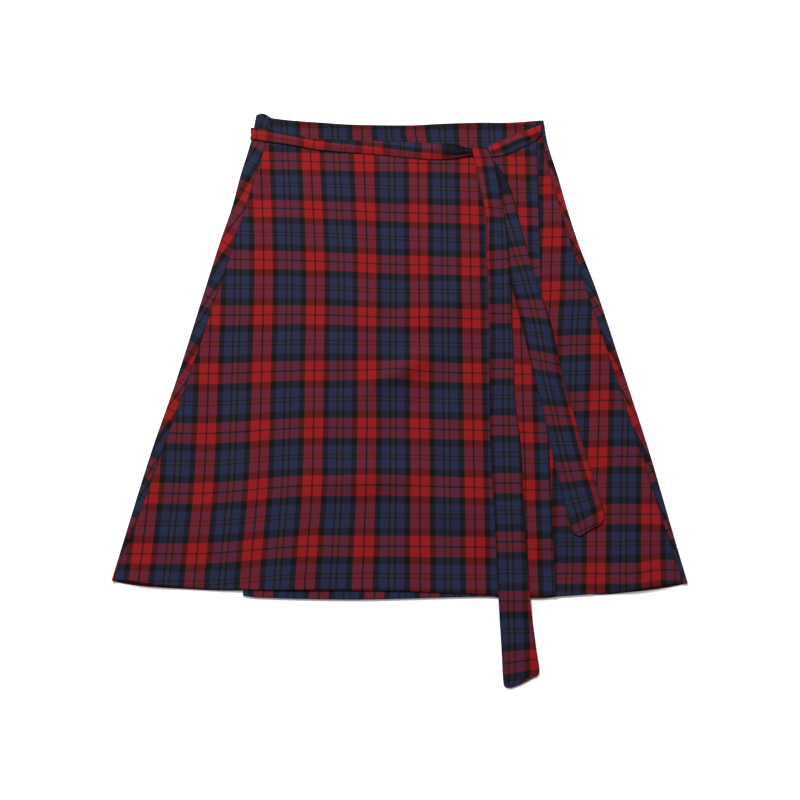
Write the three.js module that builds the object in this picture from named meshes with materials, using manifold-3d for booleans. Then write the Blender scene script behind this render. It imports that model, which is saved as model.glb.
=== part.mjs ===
// A tartan wrap skirt laid flat with its front up: a back panel that folds round both sides, two
// front panels that cross over each other, and two ties knotted on the front.
// Millimetres. +X is the viewer's right, +Y points to the waist and +Z up from the table, with the
// origin on the table under the middle of the whole.

import * as THREE from 'three';
import { mergeVertices } from 'three/addons/utils/BufferGeometryUtils.js';
import Module from 'manifold-3d';

const wasm = await Module();
wasm.setup();

// Cloth and the stack of its layers
const CLOTH = 1.2; // one layer of twill
const GAP = 0.3; // air between neighbouring pieces
const TIE_CLOTH = 2.0; // a tie is a sewn tube, so it is two layers thick
const LAYER_STEP = CLOTH + GAP;
const BACK_LEVEL = CLOTH / 2; // heights of the middle of each layer
const UNDERWRAP_LEVEL = BACK_LEVEL + LAYER_STEP;
const OVERWRAP_LEVEL = BACK_LEVEL + 2 * LAYER_STEP;
const LEFT_FOLD_RADIUS = LAYER_STEP; // the left side fold holds the underwrap's layer inside it
const RIGHT_FOLD_RADIUS = LAYER_STEP / 2; // the right one is folded on itself
const NARROWEST_STRIP = 1.2; // of the back panel, between a side fold and its seam

// Side folds and the side seams that lie inside them on the front, at heights along the skirt
const SIDES = [
  { y: -247, leftFold: -340.0, leftSeam: -339.5, rightSeam: 333.3, rightFold: 338.4 },
  { y: -170, leftFold: -321.6, leftSeam: -312.7, rightSeam: 312.8, rightFold: 320.8 },
  { y: -85, leftFold: -300.3, leftSeam: -287.6, rightSeam: 291.2, rightFold: 301.3 },
  { y: 3, leftFold: -275.3, leftSeam: -261.0, rightSeam: 267.4, rightFold: 278.4 },
  { y: 118, leftFold: -246.2, leftSeam: -229.2, rightSeam: 236.3, rightFold: 247.9 },
  { y: 185, leftFold: -229.2, leftSeam: -210.7, rightSeam: 217.4, rightFold: 226.8 },
  { y: 233, leftFold: -215.7, leftSeam: -198.0, rightSeam: 205.8, rightFold: 214.2 },
  { y: 280, leftFold: -205.9, leftSeam: -186.0, rightSeam: 194.0, rightFold: 203.6 },
  { y: 325, leftFold: -194.8, leftSeam: -174.5, rightSeam: 187.5, rightFold: 192.2 },
  { y: 362, leftFold: -188.7, leftSeam: -167.5, rightSeam: 184.0, rightFold: 187.4 },
];

// Free vertical edges: the overwrap's at the right, the underwrap's hidden at the left
const FREE_EDGES = [
  { y: -266, overwrap: 182.4, underwrap: -184.5 },
  { y: -100, overwrap: 180.2, underwrap: -174.4 },
  { y: 130, overwrap: 177.6, underwrap: -160.5 },
  { y: 360, overwrap: 177.8, underwrap: -146.8 },
];

// Waist and hem lines
const BACK_WAIST = [
  { x: -190, y: 363.5 },
  { x: -184, y: 367.2 },
  { x: -177, y: 366.8 },
  { x: -169, y: 361.5 },
  { x: -150, y: 355.0 },
  { x: 0, y: 348.0 },
  { x: 150, y: 352.0 },
  { x: 180, y: 356.5 },
  { x: 188, y: 359.0 },
];
const FRONT_WAIST = [
  { x: -169, y: 361.0 },
  { x: -144, y: 357.6 },
  { x: -104, y: 354.3 },
  { x: -64, y: 351.5 },
  { x: 13, y: 350.4 },
  { x: 52, y: 352.5 },
  { x: 102, y: 354.3 },
  { x: 143, y: 354.3 },
  { x: 186, y: 357.5 },
];
const BACK_HEM = [
  { x: -340, y: -243.4 },
  { x: -205, y: -251.0 },
  { x: 0, y: -253.0 },
  { x: 200, y: -256.0 },
  { x: 338, y: -246.8 },
];
const UNDERWRAP_HEM = [
  { x: -185, y: -261.0 },
  { x: -165, y: -263.6 },
  { x: -47, y: -265.8 },
  { x: 94, y: -262.6 },
  { x: 165, y: -264.6 },
  { x: 186, y: -262.3 },
  { x: 235, y: -258.0 },
  { x: 310, y: -252.2 },
  { x: 338, y: -246.8 },
];
const OVERWRAP_HEM = [
  { x: -340, y: -243.4 },
  { x: -302, y: -248.7 },
  { x: -205, y: -254.0 },
  { x: 0, y: -256.3 },
  { x: 94, y: -259.8 },
  { x: 183, y: -262.5 },
];

// Soft ridges where the cloth stands off what it lies on. Lean is in degrees from the Y axis.
const OVERWRAP_RIDGES = [
  { x: -262, y: -236, height: 5.0, across: 42, along: 80, lean: -14 },
  { x: -118, y: -190, height: 1.8, across: 40, along: 110, lean: -5 },
  { x: -62, y: 95, height: 1.6, across: 40, along: 120, lean: 4 },
  { x: 34, y: -70, height: 2.0, across: 42, along: 150, lean: -3 },
  { x: -150, y: 170, height: 1.5, across: 36, along: 110, lean: -10 },
];
const UNDERWRAP_RIDGES = [
  { x: 262, y: -196, height: 1.8, across: 30, along: 80, lean: 14 },
  { x: 228, y: 40, height: 1.2, across: 26, along: 100, lean: 14 },
];
const SEAM_HOLD = 24; // ridges die away over this distance from a side seam
const LEFT_SAG = 1.2; // the overwrap sinks this far where no underwrap lies below it
const SAG_TOP = 150; // above this height it is held level by the waist
const SAG_FADE = 100;
const UNDERWRAP_WAIST_DROP = 1; // the underwrap's waist edge hides just below the overwrap's

// Ties, as rows along each. a and b are the two edges, lift is what the tie rides up over, and a
// lengthwise fold of the bunched band stands up by ridge at the share fold of its width.
const LEFT_STRETCH = [
  { ax: -193.4, ay: 346.6, bx: -193.4, by: 330.2, lift: 0, thick: 1.2, ridge: 0.0, fold: 0.45 },
  { ax: -177.0, ay: 344.2, bx: -178.0, by: 326.6, lift: 0, thick: 1.3, ridge: 0.9, fold: 0.45 },
  { ax: -154.6, ay: 339.6, bx: -154.6, by: 323.1, lift: 0, thick: 1.4, ridge: 1.4, fold: 0.45 },
  { ax: -129.0, ay: 333.8, bx: -129.0, by: 318.6, lift: 0, thick: 1.4, ridge: 1.6, fold: 0.45 },
  { ax: -101.0, ay: 329.3, bx: -103.0, by: 313.7, lift: 0, thick: 1.4, ridge: 1.6, fold: 0.5 },
  { ax: -48.0, ay: 328.1, bx: -48.0, by: 309.4, lift: 0, thick: 1.4, ridge: 1.8, fold: 0.6 },
  { ax: -14.0, ay: 326.8, bx: -14.0, by: 306.2, lift: 0, thick: 1.4, ridge: 1.8, fold: 0.6 },
  { ax: 34.0, ay: 324.6, bx: 34.0, by: 301.2, lift: 0, thick: 1.4, ridge: 1.8, fold: 0.6 },
  { ax: 66.0, ay: 322.8, bx: 66.0, by: 301.6, lift: 0.6, thick: 1.4, ridge: 1.6, fold: 0.6 },
  { ax: 89.0, ay: 316.0, bx: 91.0, by: 306.0, lift: 1.9, thick: 1.6, ridge: 0.7, fold: 0.5 },
  { ax: 112.0, ay: 314.8, bx: 112.0, by: 304.2, lift: 1.9, thick: 1.6, ridge: 0.6, fold: 0.5 },
];
const RIGHT_STRETCH = [
  { ax: 184.0, ay: 355.5, bx: 183.6, by: 342.0, lift: 0, thick: 1.6, ridge: 0.2, fold: 0.6 },
  { ax: 172.0, ay: 350.0, bx: 169.0, by: 333.5, lift: 0, thick: 1.4, ridge: 0.9, fold: 0.6 },
  { ax: 156.0, ay: 341.0, bx: 152.0, by: 322.0, lift: 0, thick: 1.4, ridge: 1.4, fold: 0.6 },
  { ax: 142.0, ay: 332.6, bx: 138.0, by: 311.0, lift: 0, thick: 1.4, ridge: 1.6, fold: 0.6 },
  { ax: 126.0, ay: 323.6, bx: 125.0, by: 304.5, lift: 0, thick: 1.4, ridge: 1.2, fold: 0.55 },
  { ax: 115.5, ay: 318.0, bx: 115.5, by: 304.0, lift: 0, thick: 1.4, ridge: 0.4, fold: 0.5 },
];
const SHORT_END = [
  { ax: 97.0, ay: 301.0, bx: 119.5, by: 301.5, lift: 1.9, thick: 2.0, ridge: 0.0, fold: 0.8 },
  { ax: 105.0, ay: 280.0, bx: 136.0, by: 284.0, lift: 1.0, thick: 2.0, ridge: 0.2, fold: 0.8 },
  { ax: 113.0, ay: 250.0, bx: 143.0, by: 257.0, lift: 0.2, thick: 2.0, ridge: 0.5, fold: 0.8 },
  { ax: 120.5, ay: 218.0, bx: 150.7, by: 222.0, lift: 0, thick: 2.0, ridge: 0.8, fold: 0.75 },
  { ax: 129.0, ay: 176.0, bx: 160.0, by: 180.0, lift: 0, thick: 2.0, ridge: 0.8, fold: 0.75 },
  { ax: 140.0, ay: 128.0, bx: 172.0, by: 131.0, lift: 0, thick: 2.0, ridge: 0.8, fold: 0.75 },
  { ax: 151.0, ay: 77.0, bx: 189.0, by: 72.0, lift: 0, thick: 2.0, ridge: 0.8, fold: 0.75 },
  { ax: 164.0, ay: 12.0, bx: 200.5, by: 5.0, lift: 0, thick: 2.0, ridge: 0.6, fold: 0.8 },
  { ax: 174.4, ay: -37.7, bx: 212.0, by: -39.0, lift: 0, thick: 2.0, ridge: 0.5, fold: 0.8 },
  { ax: 182.7, ay: -83.0, bx: 222.8, by: -82.0, lift: 0, thick: 2.0, ridge: 0.6, fold: 0.8 },
  { ax: 191.0, ay: -126.0, bx: 233.5, by: -122.5, lift: 0, thick: 2.0, ridge: 1.0, fold: 0.8 },
  { ax: 199.2, ay: -161.4, bx: 240.5, by: -148.0, lift: 0, thick: 2.0, ridge: 1.2, fold: 0.75 },
  { ax: 204.5, ay: -182.5, bx: 243.7, by: -162.0, lift: 0, thick: 2.0, ridge: 1.0, fold: 0.7 },
  { ax: 207.5, ay: -189.0, bx: 241.5, by: -174.5, lift: 0, thick: 2.0, ridge: 0.6, fold: 0.7 },
  { ax: 213.0, ay: -191.4, bx: 232.0, by: -180.0, lift: 0, thick: 2.0, ridge: 0.0, fold: 0.7 },
];
const LONG_END = [
  { ax: 96.2, ay: 298.7, bx: 118.7, by: 298.7, lift: 4.6, thick: 1.6, ridge: 0.6, fold: 0.3 },
  { ax: 98.6, ay: 285.0, bx: 122.7, by: 285.0, lift: 3.8, thick: 1.8, ridge: 0.6, fold: 0.3 },
  { ax: 104.0, ay: 253.0, bx: 129.3, by: 253.0, lift: 1.4, thick: 2.0, ridge: 0.8, fold: 0.25 },
  { ax: 109.3, ay: 220.5, bx: 134.8, by: 219.0, lift: 0.3, thick: 2.0, ridge: 0.8, fold: 0.25 },
  { ax: 109.6, ay: 170.0, bx: 141.0, by: 170.0, lift: 0, thick: 2.0, ridge: 0.6, fold: 0.25 },
  { ax: 111.0, ay: 100.0, bx: 141.3, by: 100.0, lift: 0, thick: 2.0, ridge: 0.4, fold: 0.25 },
  { ax: 111.0, ay: 30.0, bx: 140.3, by: 30.0, lift: 0, thick: 2.0, ridge: 0.3, fold: 0.3 },
  { ax: 109.6, ay: -24.0, bx: 140.2, by: -24.0, lift: 0, thick: 2.0, ridge: 0.3, fold: 0.4 },
  { ax: 109.5, ay: -76.0, bx: 145.7, by: -76.0, lift: 0, thick: 2.0, ridge: 0.3, fold: 0.5 },
  { ax: 112.2, ay: -150.0, bx: 147.8, by: -150.0, lift: 0, thick: 2.0, ridge: 0.3, fold: 0.6 },
  { ax: 114.3, ay: -225.0, bx: 150.4, by: -225.0, lift: 0, thick: 2.0, ridge: 0.3, fold: 0.7 },
  { ax: 115.2, ay: -262.0, bx: 152.0, by: -262.0, lift: 0, thick: 2.0, ridge: 0.3, fold: 0.7 },
  { ax: 116.6, ay: -292.0, bx: 154.8, by: -292.0, lift: 0, thick: 2.0, ridge: 0.4, fold: 0.75 },
  { ax: 118.0, ay: -325.0, bx: 158.0, by: -322.0, lift: 0, thick: 2.0, ridge: 0.4, fold: 0.75 },
  { ax: 119.0, ay: -357.0, bx: 160.6, by: -349.5, lift: 0, thick: 2.0, ridge: 0.3, fold: 0.7 },
  { ax: 121.0, ay: -365.4, bx: 152.0, by: -356.4, lift: 0, thick: 2.0, ridge: 0.1, fold: 0.6 },
  { ax: 127.5, ay: -367.2, bx: 139.0, by: -363.2, lift: 0, thick: 2.0, ridge: 0.0, fold: 0.5 },
];

// How a tie slopes down past the overwrap's free edge and past its hem, and how the long end slopes
// up beside the short end, as distances from the edge where each slope starts and ends
const EDGE_SLOPE = { start: 3, end: 16 };
const HEM_SLOPE = { start: 4, end: 34 };
const CROSSING_SLOPE = { start: 14, end: 3 };

// The slit in the left side fold that the underwrap's tie comes out of, and the tie inside it
const SLIT = { bottom: 328, top: 348.8, outer: -200, inner: -187, bite: 0.05 };
const INNER_RUN = { innerX: -149.0, innerTop: 349.0, innerBottom: 333.0 };

// The knot: the right tie goes under the left one, turns up round it and comes down over it
const KNOT = { turnY: 315.5, runEndY: 299.0, left: 92.8, right: 113.2, endLeft: 96.0, endRight: 118.5 };
const KNOT_CLOTH = 1.6;
const KNOT_INNER_RADIUS = 1.5;

// Mesh density
const PANEL_ROWS = 22;
const OVERWRAP_COLUMNS = 26;
const UNDERWRAP_COLUMNS = 22;
const BACK_COLUMNS = 10;
const STRIP_COLUMNS = 2;
const FOLD_STEPS = 6;
const TIE_COLUMNS = 6;
const STEPS_A_ROW = 2;
const RUN_STEPS = 3; // along a tie's hidden straight runs
const PLACING_PASSES = 4;

const { lerp, clamp, degToRad, smoothstep } = THREE.MathUtils;

// Cubic through b and c, with a and d as their outer neighbours
function catmullRom(share, a, b, c, d) {
  const startSlope = (c - a) / 2;
  const endSlope = (d - b) / 2;
  const cubic = 2 * (b - c) + startSlope + endSlope;
  const square = 3 * (c - b) - 2 * startSlope - endSlope;
  return ((cubic * share + square) * share + startSlope) * share + b;
}

// A smooth curve through a table: the column to, as a function of the column from
function curveThrough(rows, from, to) {
  const last = rows.length - 1;
  const slopes = rows.map((row, k) => {
    const before = rows[Math.max(k - 1, 0)];
    const after = rows[Math.min(k + 1, last)];
    return (after[to] - before[to]) / (after[from] - before[from]);
  });
  return (at) => {
    let k = 0;
    while (k < last - 1 && at > rows[k + 1][from]) k++;
    const span = rows[k + 1][from] - rows[k][from];
    const s = clamp((at - rows[k][from]) / span, 0, 1);
    const rise = rows[k + 1][to] - rows[k][to];
    const cubic = (slopes[k] + slopes[k + 1]) * span - 2 * rise;
    const square = 3 * rise - (2 * slopes[k] + slopes[k + 1]) * span;
    return ((cubic * s + square) * s + slopes[k] * span) * s + rows[k][to];
  };
}

// All columns of a table at a place between two of its rows
function rowAt(rows, place) {
  const last = rows.length - 1;
  const k = Math.min(Math.floor(place), last - 1);
  const near = [k - 1, k, k + 1, k + 2].map((n) => rows[clamp(n, 0, last)]);
  const row = {};
  for (const name of Object.keys(near[1])) {
    row[name] = catmullRom(place - k, ...near.map((r) => r[name]));
  }
  return row;
}

const leftFold = curveThrough(SIDES, 'y', 'leftFold');
const leftSeam = curveThrough(SIDES, 'y', 'leftSeam');
const rightSeam = curveThrough(SIDES, 'y', 'rightSeam');
const rightFold = curveThrough(SIDES, 'y', 'rightFold');
const overwrapEdge = curveThrough(FREE_EDGES, 'y', 'overwrap');
const underwrapEdge = curveThrough(FREE_EDGES, 'y', 'underwrap');
const backWaist = curveThrough(BACK_WAIST, 'x', 'y');
const frontWaist = curveThrough(FRONT_WAIST, 'x', 'y');
const backHem = curveThrough(BACK_HEM, 'x', 'y');
const underwrapHem = curveThrough(UNDERWRAP_HEM, 'x', 'y');
const overwrapHem = curveThrough(OVERWRAP_HEM, 'x', 'y');

// Where each side strip of the back panel ends, which is at least a narrow strip inside its fold
function leftStripEnd(y) {
  const foldEnd = leftFold(y) + LEFT_FOLD_RADIUS + CLOTH / 2;
  return Math.max(leftSeam(y), foldEnd + NARROWEST_STRIP);
}
function rightStripEnd(y) {
  const foldEnd = rightFold(y) - RIGHT_FOLD_RADIUS - CLOTH / 2;
  return Math.min(rightSeam(y), foldEnd - NARROWEST_STRIP);
}

// Height added by a table of ridges at a place
function ridgeHeight(ridges, x, y) {
  let height = 0;
  for (const ridge of ridges) {
    const lean = degToRad(ridge.lean);
    const dx = x - ridge.x;
    const dy = y - ridge.y;
    const across = (dx * Math.cos(lean) + dy * Math.sin(lean)) / ridge.across;
    const along = (dy * Math.cos(lean) - dx * Math.sin(lean)) / ridge.along;
    height += ridge.height * Math.exp(-across * across - along * along);
  }
  return height;
}

// Middle heights of the two front panels. Both are held down along their side seams.
function underwrapHeight(x, y) {
  const free = smoothstep(rightSeam(y) - x, 0, SEAM_HOLD);
  return UNDERWRAP_LEVEL + free * ridgeHeight(UNDERWRAP_RIDGES, x, y);
}

function leftSag(x, y) {
  const share = (x - leftSeam(y)) / (underwrapEdge(y) - leftSeam(y));
  const wave = Math.sin(Math.PI * clamp(share, 0, 1));
  return LEFT_SAG * wave * wave * smoothstep(SAG_TOP - y, 0, SAG_FADE);
}

function overwrapHeight(x, y) {
  const free = smoothstep(x - leftSeam(y), 0, SEAM_HOLD);
  const raised = free * ridgeHeight(OVERWRAP_RIDGES, x, y) + ridgeHeight(UNDERWRAP_RIDGES, x, y);
  return OVERWRAP_LEVEL + raised - leftSag(x, y);
}

// A closed wall from two grids of points that face each other
function closedWall(front, back) {
  const rows = front.length;
  const columns = front[0].length;
  const points = [...front.flat(), ...back.flat()];
  const at = (side, i, j) => side * rows * columns + i * columns + j;
  const faces = [];
  const quad = (a, b, c, d) => faces.push(a, b, c, a, c, d);
  for (let i = 0; i + 1 < rows; i++) {
    for (let j = 0; j + 1 < columns; j++) {
      quad(at(0, i, j), at(0, i, j + 1), at(0, i + 1, j + 1), at(0, i + 1, j));
      quad(at(1, i, j), at(1, i + 1, j), at(1, i + 1, j + 1), at(1, i, j + 1));
    }
    quad(at(0, i, 0), at(0, i + 1, 0), at(1, i + 1, 0), at(1, i, 0));
    quad(at(0, i + 1, columns - 1), at(0, i, columns - 1), at(1, i, columns - 1), at(1, i + 1, columns - 1));
  }
  for (let j = 0; j + 1 < columns; j++) {
    quad(at(0, 0, j + 1), at(0, 0, j), at(1, 0, j), at(1, 0, j + 1));
    quad(at(0, rows - 1, j), at(0, rows - 1, j + 1), at(1, rows - 1, j + 1), at(1, rows - 1, j));
  }
  const geometry = new THREE.BufferGeometry().setFromPoints(points);
  geometry.setIndex(faces);
  return geometry;
}

// A front panel between two side edges, a hem and a waist, at the height of its layer
function frontPanel({ left, right, hem, waist, height, columns }) {
  const top = [];
  const underside = [];
  for (let i = 0; i <= PANEL_ROWS; i++) {
    const t = i / PANEL_ROWS;
    const topRow = [];
    const undersideRow = [];
    for (let j = 0; j <= columns; j++) {
      let x = 0;
      let y = lerp(hem(x), waist(x), t);
      for (let pass = 0; pass < PLACING_PASSES; pass++) {
        x = lerp(left(y), right(y), j / columns);
        y = lerp(hem(x), waist(x), t);
      }
      const z = height(x, y);
      topRow.push(new THREE.Vector3(x, y, z + CLOTH / 2));
      undersideRow.push(new THREE.Vector3(x, y, z - CLOTH / 2));
    }
    top.push(topRow);
    underside.push(undersideRow);
  }
  return closedWall(top, underside);
}

// The back panel's section at one height: in from the left seam, round the left fold, across the
// table, round the right fold and in to the right seam. nx and nz point to its inner side.
function backSection(y) {
  const section = [];
  const leftCentre = leftFold(y) + LEFT_FOLD_RADIUS + CLOTH / 2;
  const rightCentre = rightFold(y) - RIGHT_FOLD_RADIUS - CLOTH / 2;
  const leftEnd = leftStripEnd(y) - GAP;
  const rightEnd = rightStripEnd(y) + GAP;
  for (let k = 0; k < STRIP_COLUMNS; k++) {
    section.push({ x: lerp(leftEnd, leftCentre, k / STRIP_COLUMNS), z: OVERWRAP_LEVEL, nx: 0, nz: -1 });
  }
  for (let k = 0; k <= FOLD_STEPS; k++) {
    const turn = Math.PI * (0.5 + k / FOLD_STEPS);
    const x = leftCentre + LEFT_FOLD_RADIUS * Math.cos(turn);
    const z = BACK_LEVEL + LEFT_FOLD_RADIUS + LEFT_FOLD_RADIUS * Math.sin(turn);
    section.push({ x, z, nx: -Math.cos(turn), nz: -Math.sin(turn) });
  }
  for (let k = 1; k < BACK_COLUMNS; k++) {
    section.push({ x: lerp(leftCentre, rightCentre, k / BACK_COLUMNS), z: BACK_LEVEL, nx: 0, nz: 1 });
  }
  for (let k = 0; k <= FOLD_STEPS; k++) {
    const turn = Math.PI * (k / FOLD_STEPS - 0.5);
    const x = rightCentre + RIGHT_FOLD_RADIUS * Math.cos(turn);
    const z = BACK_LEVEL + RIGHT_FOLD_RADIUS + RIGHT_FOLD_RADIUS * Math.sin(turn);
    section.push({ x, z, nx: -Math.cos(turn), nz: -Math.sin(turn) });
  }
  for (let k = 1; k <= STRIP_COLUMNS; k++) {
    section.push({ x: lerp(rightCentre, rightEnd, k / STRIP_COLUMNS), z: UNDERWRAP_LEVEL, nx: 0, nz: -1 });
  }
  return section;
}

function backPanelWhole() {
  const inner = [];
  const outer = [];
  const columns = backSection(0).length;
  for (let i = 0; i <= PANEL_ROWS; i++) {
    const t = i / PANEL_ROWS;
    const innerRow = [];
    const outerRow = [];
    for (let j = 0; j < columns; j++) {
      let y = lerp(backHem(0), backWaist(0), t);
      let point = backSection(y)[j];
      for (let pass = 0; pass < PLACING_PASSES; pass++) {
        y = lerp(backHem(point.x), backWaist(point.x), t);
        point = backSection(y)[j];
      }
      const { x, z, nx, nz } = point;
      innerRow.push(new THREE.Vector3(x + (nx * CLOTH) / 2, y, z + (nz * CLOTH) / 2));
      outerRow.push(new THREE.Vector3(x - (nx * CLOTH) / 2, y, z - (nz * CLOTH) / 2));
    }
    inner.push(innerRow);
    outer.push(outerRow);
  }
  return closedWall(inner, outer);
}

function toManifold(geometry) {
  const merged = geometry.clone();
  merged.deleteAttribute('normal');
  merged.deleteAttribute('uv');
  const { attributes, index } = mergeVertices(merged);
  return new wasm.Manifold(
    new wasm.Mesh({
      numProp: 3,
      vertProperties: new Float32Array(attributes.position.array),
      triVerts: new Uint32Array(index.array),
    })
  );
}

function toGeometry(manifold) {
  const mesh = manifold.getMesh();
  const geometry = new THREE.BufferGeometry();
  geometry.setAttribute('position', new THREE.BufferAttribute(mesh.vertProperties, 3));
  geometry.setIndex(new THREE.BufferAttribute(mesh.triVerts, 1));
  return geometry;
}

// The back panel with the slit cut through its left fold, between the layers above and below it
function backPanel() {
  const low = CLOTH - SLIT.bite;
  const high = OVERWRAP_LEVEL - CLOTH / 2 + SLIT.bite;
  const slit = new THREE.BoxGeometry(SLIT.inner - SLIT.outer, SLIT.top - SLIT.bottom, high - low);
  slit.translate((SLIT.inner + SLIT.outer) / 2, (SLIT.top + SLIT.bottom) / 2, (high + low) / 2);
  return toGeometry(toManifold(backPanelWhole()).subtract(toManifold(slit)));
}

// Height of what a tie rests on: the overwrap, then the layer past its free edge, then the table
// past the hem. The tie bridges each step with a soft slope.
function restingHeight(x, y) {
  const onOverwrap = overwrapHeight(x, y) + CLOTH / 2 + GAP;
  const onUnderwrap = underwrapHeight(x, y) + CLOTH / 2 + GAP;
  const pastEdge = smoothstep(x - overwrapEdge(y), EDGE_SLOPE.start, EDGE_SLOPE.end);
  const pastHem = smoothstep(overwrapHem(x) - y, HEM_SLOPE.start, HEM_SLOPE.end);
  return lerp(lerp(onOverwrap, onUnderwrap, pastEdge), 0, pastHem);
}

const shortEndDown = [...SHORT_END].reverse();
const shortEndLeft = curveThrough(shortEndDown, 'ay', 'ax');
const shortEndLift = curveThrough(shortEndDown, 'ay', 'lift');
const shortEndRidge = curveThrough(shortEndDown, 'ay', 'ridge');

// Height that the long end gains where the short end lies under it
function overShortEnd(x, y) {
  const left = shortEndLeft(y);
  const top = TIE_CLOTH + shortEndRidge(y) + shortEndLift(y);
  const beside = smoothstep(x, left - CROSSING_SLOPE.start, left - CROSSING_SLOPE.end);
  return beside * (top + GAP);
}

// How far a band's top stands up at a share of its width
function foldProfile(share, fold) {
  return share < fold ? smoothstep(share, 0, fold) : smoothstep(1 - share, 0, 1 - fold);
}

// Under and upper points across one row of a tie
function tieRow(row, under) {
  const lower = [];
  const upper = [];
  for (let j = 0; j <= TIE_COLUMNS; j++) {
    const share = j / TIE_COLUMNS;
    const x = lerp(row.ax, row.bx, share);
    const y = lerp(row.ay, row.by, share);
    const z = under(x, y, row.lift);
    const thick = row.thick + row.ridge * foldProfile(share, row.fold);
    lower.push(new THREE.Vector3(x, y, z));
    upper.push(new THREE.Vector3(x, y, z + thick));
  }
  return { lower, upper };
}

function tieRows(rows, under) {
  const lower = [];
  const upper = [];
  const steps = (rows.length - 1) * STEPS_A_ROW;
  for (let i = 0; i <= steps; i++) {
    const row = tieRow(rowAt(rows, i / STEPS_A_ROW), under);
    lower.push(row.lower);
    upper.push(row.upper);
  }
  return { lower, upper };
}

// Turns a wall's faces round if its grids were given from the wrong side
function facingOut(geometry) {
  const index = geometry.getIndex();
  const position = geometry.getAttribute('position');
  const corner = (k) => new THREE.Vector3().fromBufferAttribute(position, index.getX(k));
  let volume = 0;
  for (let k = 0; k < index.count; k += 3) {
    volume += corner(k).dot(corner(k + 1).cross(corner(k + 2)));
  }
  if (volume < 0) {
    geometry.setIndex([...index.array].reverse());
  }
  return geometry;
}

function tieBand(rows, under) {
  const { lower, upper } = tieRows(rows, under);
  return facingOut(closedWall(upper, lower));
}

const onTheSkirt = (x, y, lift) => restingHeight(x, y) + lift;
const onTheShortEnd = (x, y, lift) => restingHeight(x, y) + Math.max(lift, overShortEnd(x, y));

// The left stretch starts inside at the underwrap's corner, passes out of the slit, turns up round
// the fold's upper lip and crosses the front.
function leftStretch() {
  const first = LEFT_STRETCH[0];
  const innerLow = UNDERWRAP_LEVEL - CLOTH / 2;
  const innerRadius = (OVERWRAP_LEVEL + CLOTH / 2 + GAP - UNDERWRAP_LEVEL - CLOTH / 2) / 2;
  const turnHeight = innerLow + CLOTH + innerRadius;
  const facing = [];
  const away = [];
  const addRow = (x, top, bottom, nearZ, farX, farZ) => {
    const shares = Array.from({ length: TIE_COLUMNS + 1 }, (_, j) => j / TIE_COLUMNS);
    facing.push(shares.map((s) => new THREE.Vector3(x, lerp(top, bottom, s), nearZ)));
    away.push(shares.map((s) => new THREE.Vector3(farX, lerp(top, bottom, s), farZ)));
  };
  for (let k = 0; k < RUN_STEPS; k++) {
    const share = k / RUN_STEPS;
    const x = lerp(INNER_RUN.innerX, first.ax, share);
    const top = lerp(INNER_RUN.innerTop, first.ay, share);
    const bottom = lerp(INNER_RUN.innerBottom, first.by, share);
    addRow(x, top, bottom, innerLow + CLOTH, x, innerLow);
  }
  for (let k = 0; k < FOLD_STEPS; k++) {
    const turn = -Math.PI * (0.5 + k / FOLD_STEPS);
    const reach = innerRadius + CLOTH;
    const nearX = first.ax + innerRadius * Math.cos(turn);
    const nearZ = turnHeight + innerRadius * Math.sin(turn);
    const farX = first.ax + reach * Math.cos(turn);
    addRow(nearX, first.ay, first.by, nearZ, farX, turnHeight + reach * Math.sin(turn));
  }
  const { lower, upper } = tieRows(LEFT_STRETCH, onTheSkirt);
  return facingOut(closedWall([...away, ...upper], [...facing, ...lower]));
}

// The turn of the right tie round the left one: a short run under it, half a turn, a run over it
function knotTurn() {
  const floor = restingHeight(KNOT.left, KNOT.turnY);
  const centreZ = floor + KNOT_CLOTH + KNOT_INNER_RADIUS;
  const reach = KNOT_INNER_RADIUS + KNOT_CLOTH;
  const inner = [];
  const outer = [];
  const addRow = (left, right, innerY, innerZ, outerY, outerZ) => {
    const xs = Array.from({ length: TIE_COLUMNS + 1 }, (_, j) => lerp(left, right, j / TIE_COLUMNS));
    inner.push(xs.map((x) => new THREE.Vector3(x, innerY, innerZ)));
    outer.push(xs.map((x) => new THREE.Vector3(x, outerY, outerZ)));
  };
  for (let k = 0; k < RUN_STEPS; k++) {
    const y = lerp(KNOT.runEndY, KNOT.turnY, k / RUN_STEPS);
    addRow(KNOT.left, KNOT.right, y, floor + KNOT_CLOTH, y, floor);
  }
  for (let k = 0; k <= FOLD_STEPS; k++) {
    const turn = Math.PI * (k / FOLD_STEPS - 0.5);
    const cos = Math.cos(turn);
    const sin = Math.sin(turn);
    const innerY = KNOT.turnY + KNOT_INNER_RADIUS * cos;
    const outerY = KNOT.turnY + reach * cos;
    addRow(KNOT.left, KNOT.right, innerY, centreZ + KNOT_INNER_RADIUS * sin, outerY, centreZ + reach * sin);
  }
  for (let k = 1; k <= RUN_STEPS; k++) {
    const share = k / RUN_STEPS;
    const y = lerp(KNOT.turnY, KNOT.runEndY, share);
    const left = lerp(KNOT.left, KNOT.endLeft, share);
    const right = lerp(KNOT.right, KNOT.endRight, share);
    addRow(left, right, y, centreZ + KNOT_INNER_RADIUS, y, centreZ + reach);
  }
  return facingOut(closedWall(outer, inner));
}

const PANEL_COLOUR = 0x5c2233;
const TIE_COLOUR = 0x7a2434;

function piece(name, geometry, color) {
  const material = new THREE.MeshStandardMaterial({ color, roughness: 0.9, metalness: 0 });
  const mesh = new THREE.Mesh(geometry, material);
  mesh.name = name;
  return mesh;
}

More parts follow.
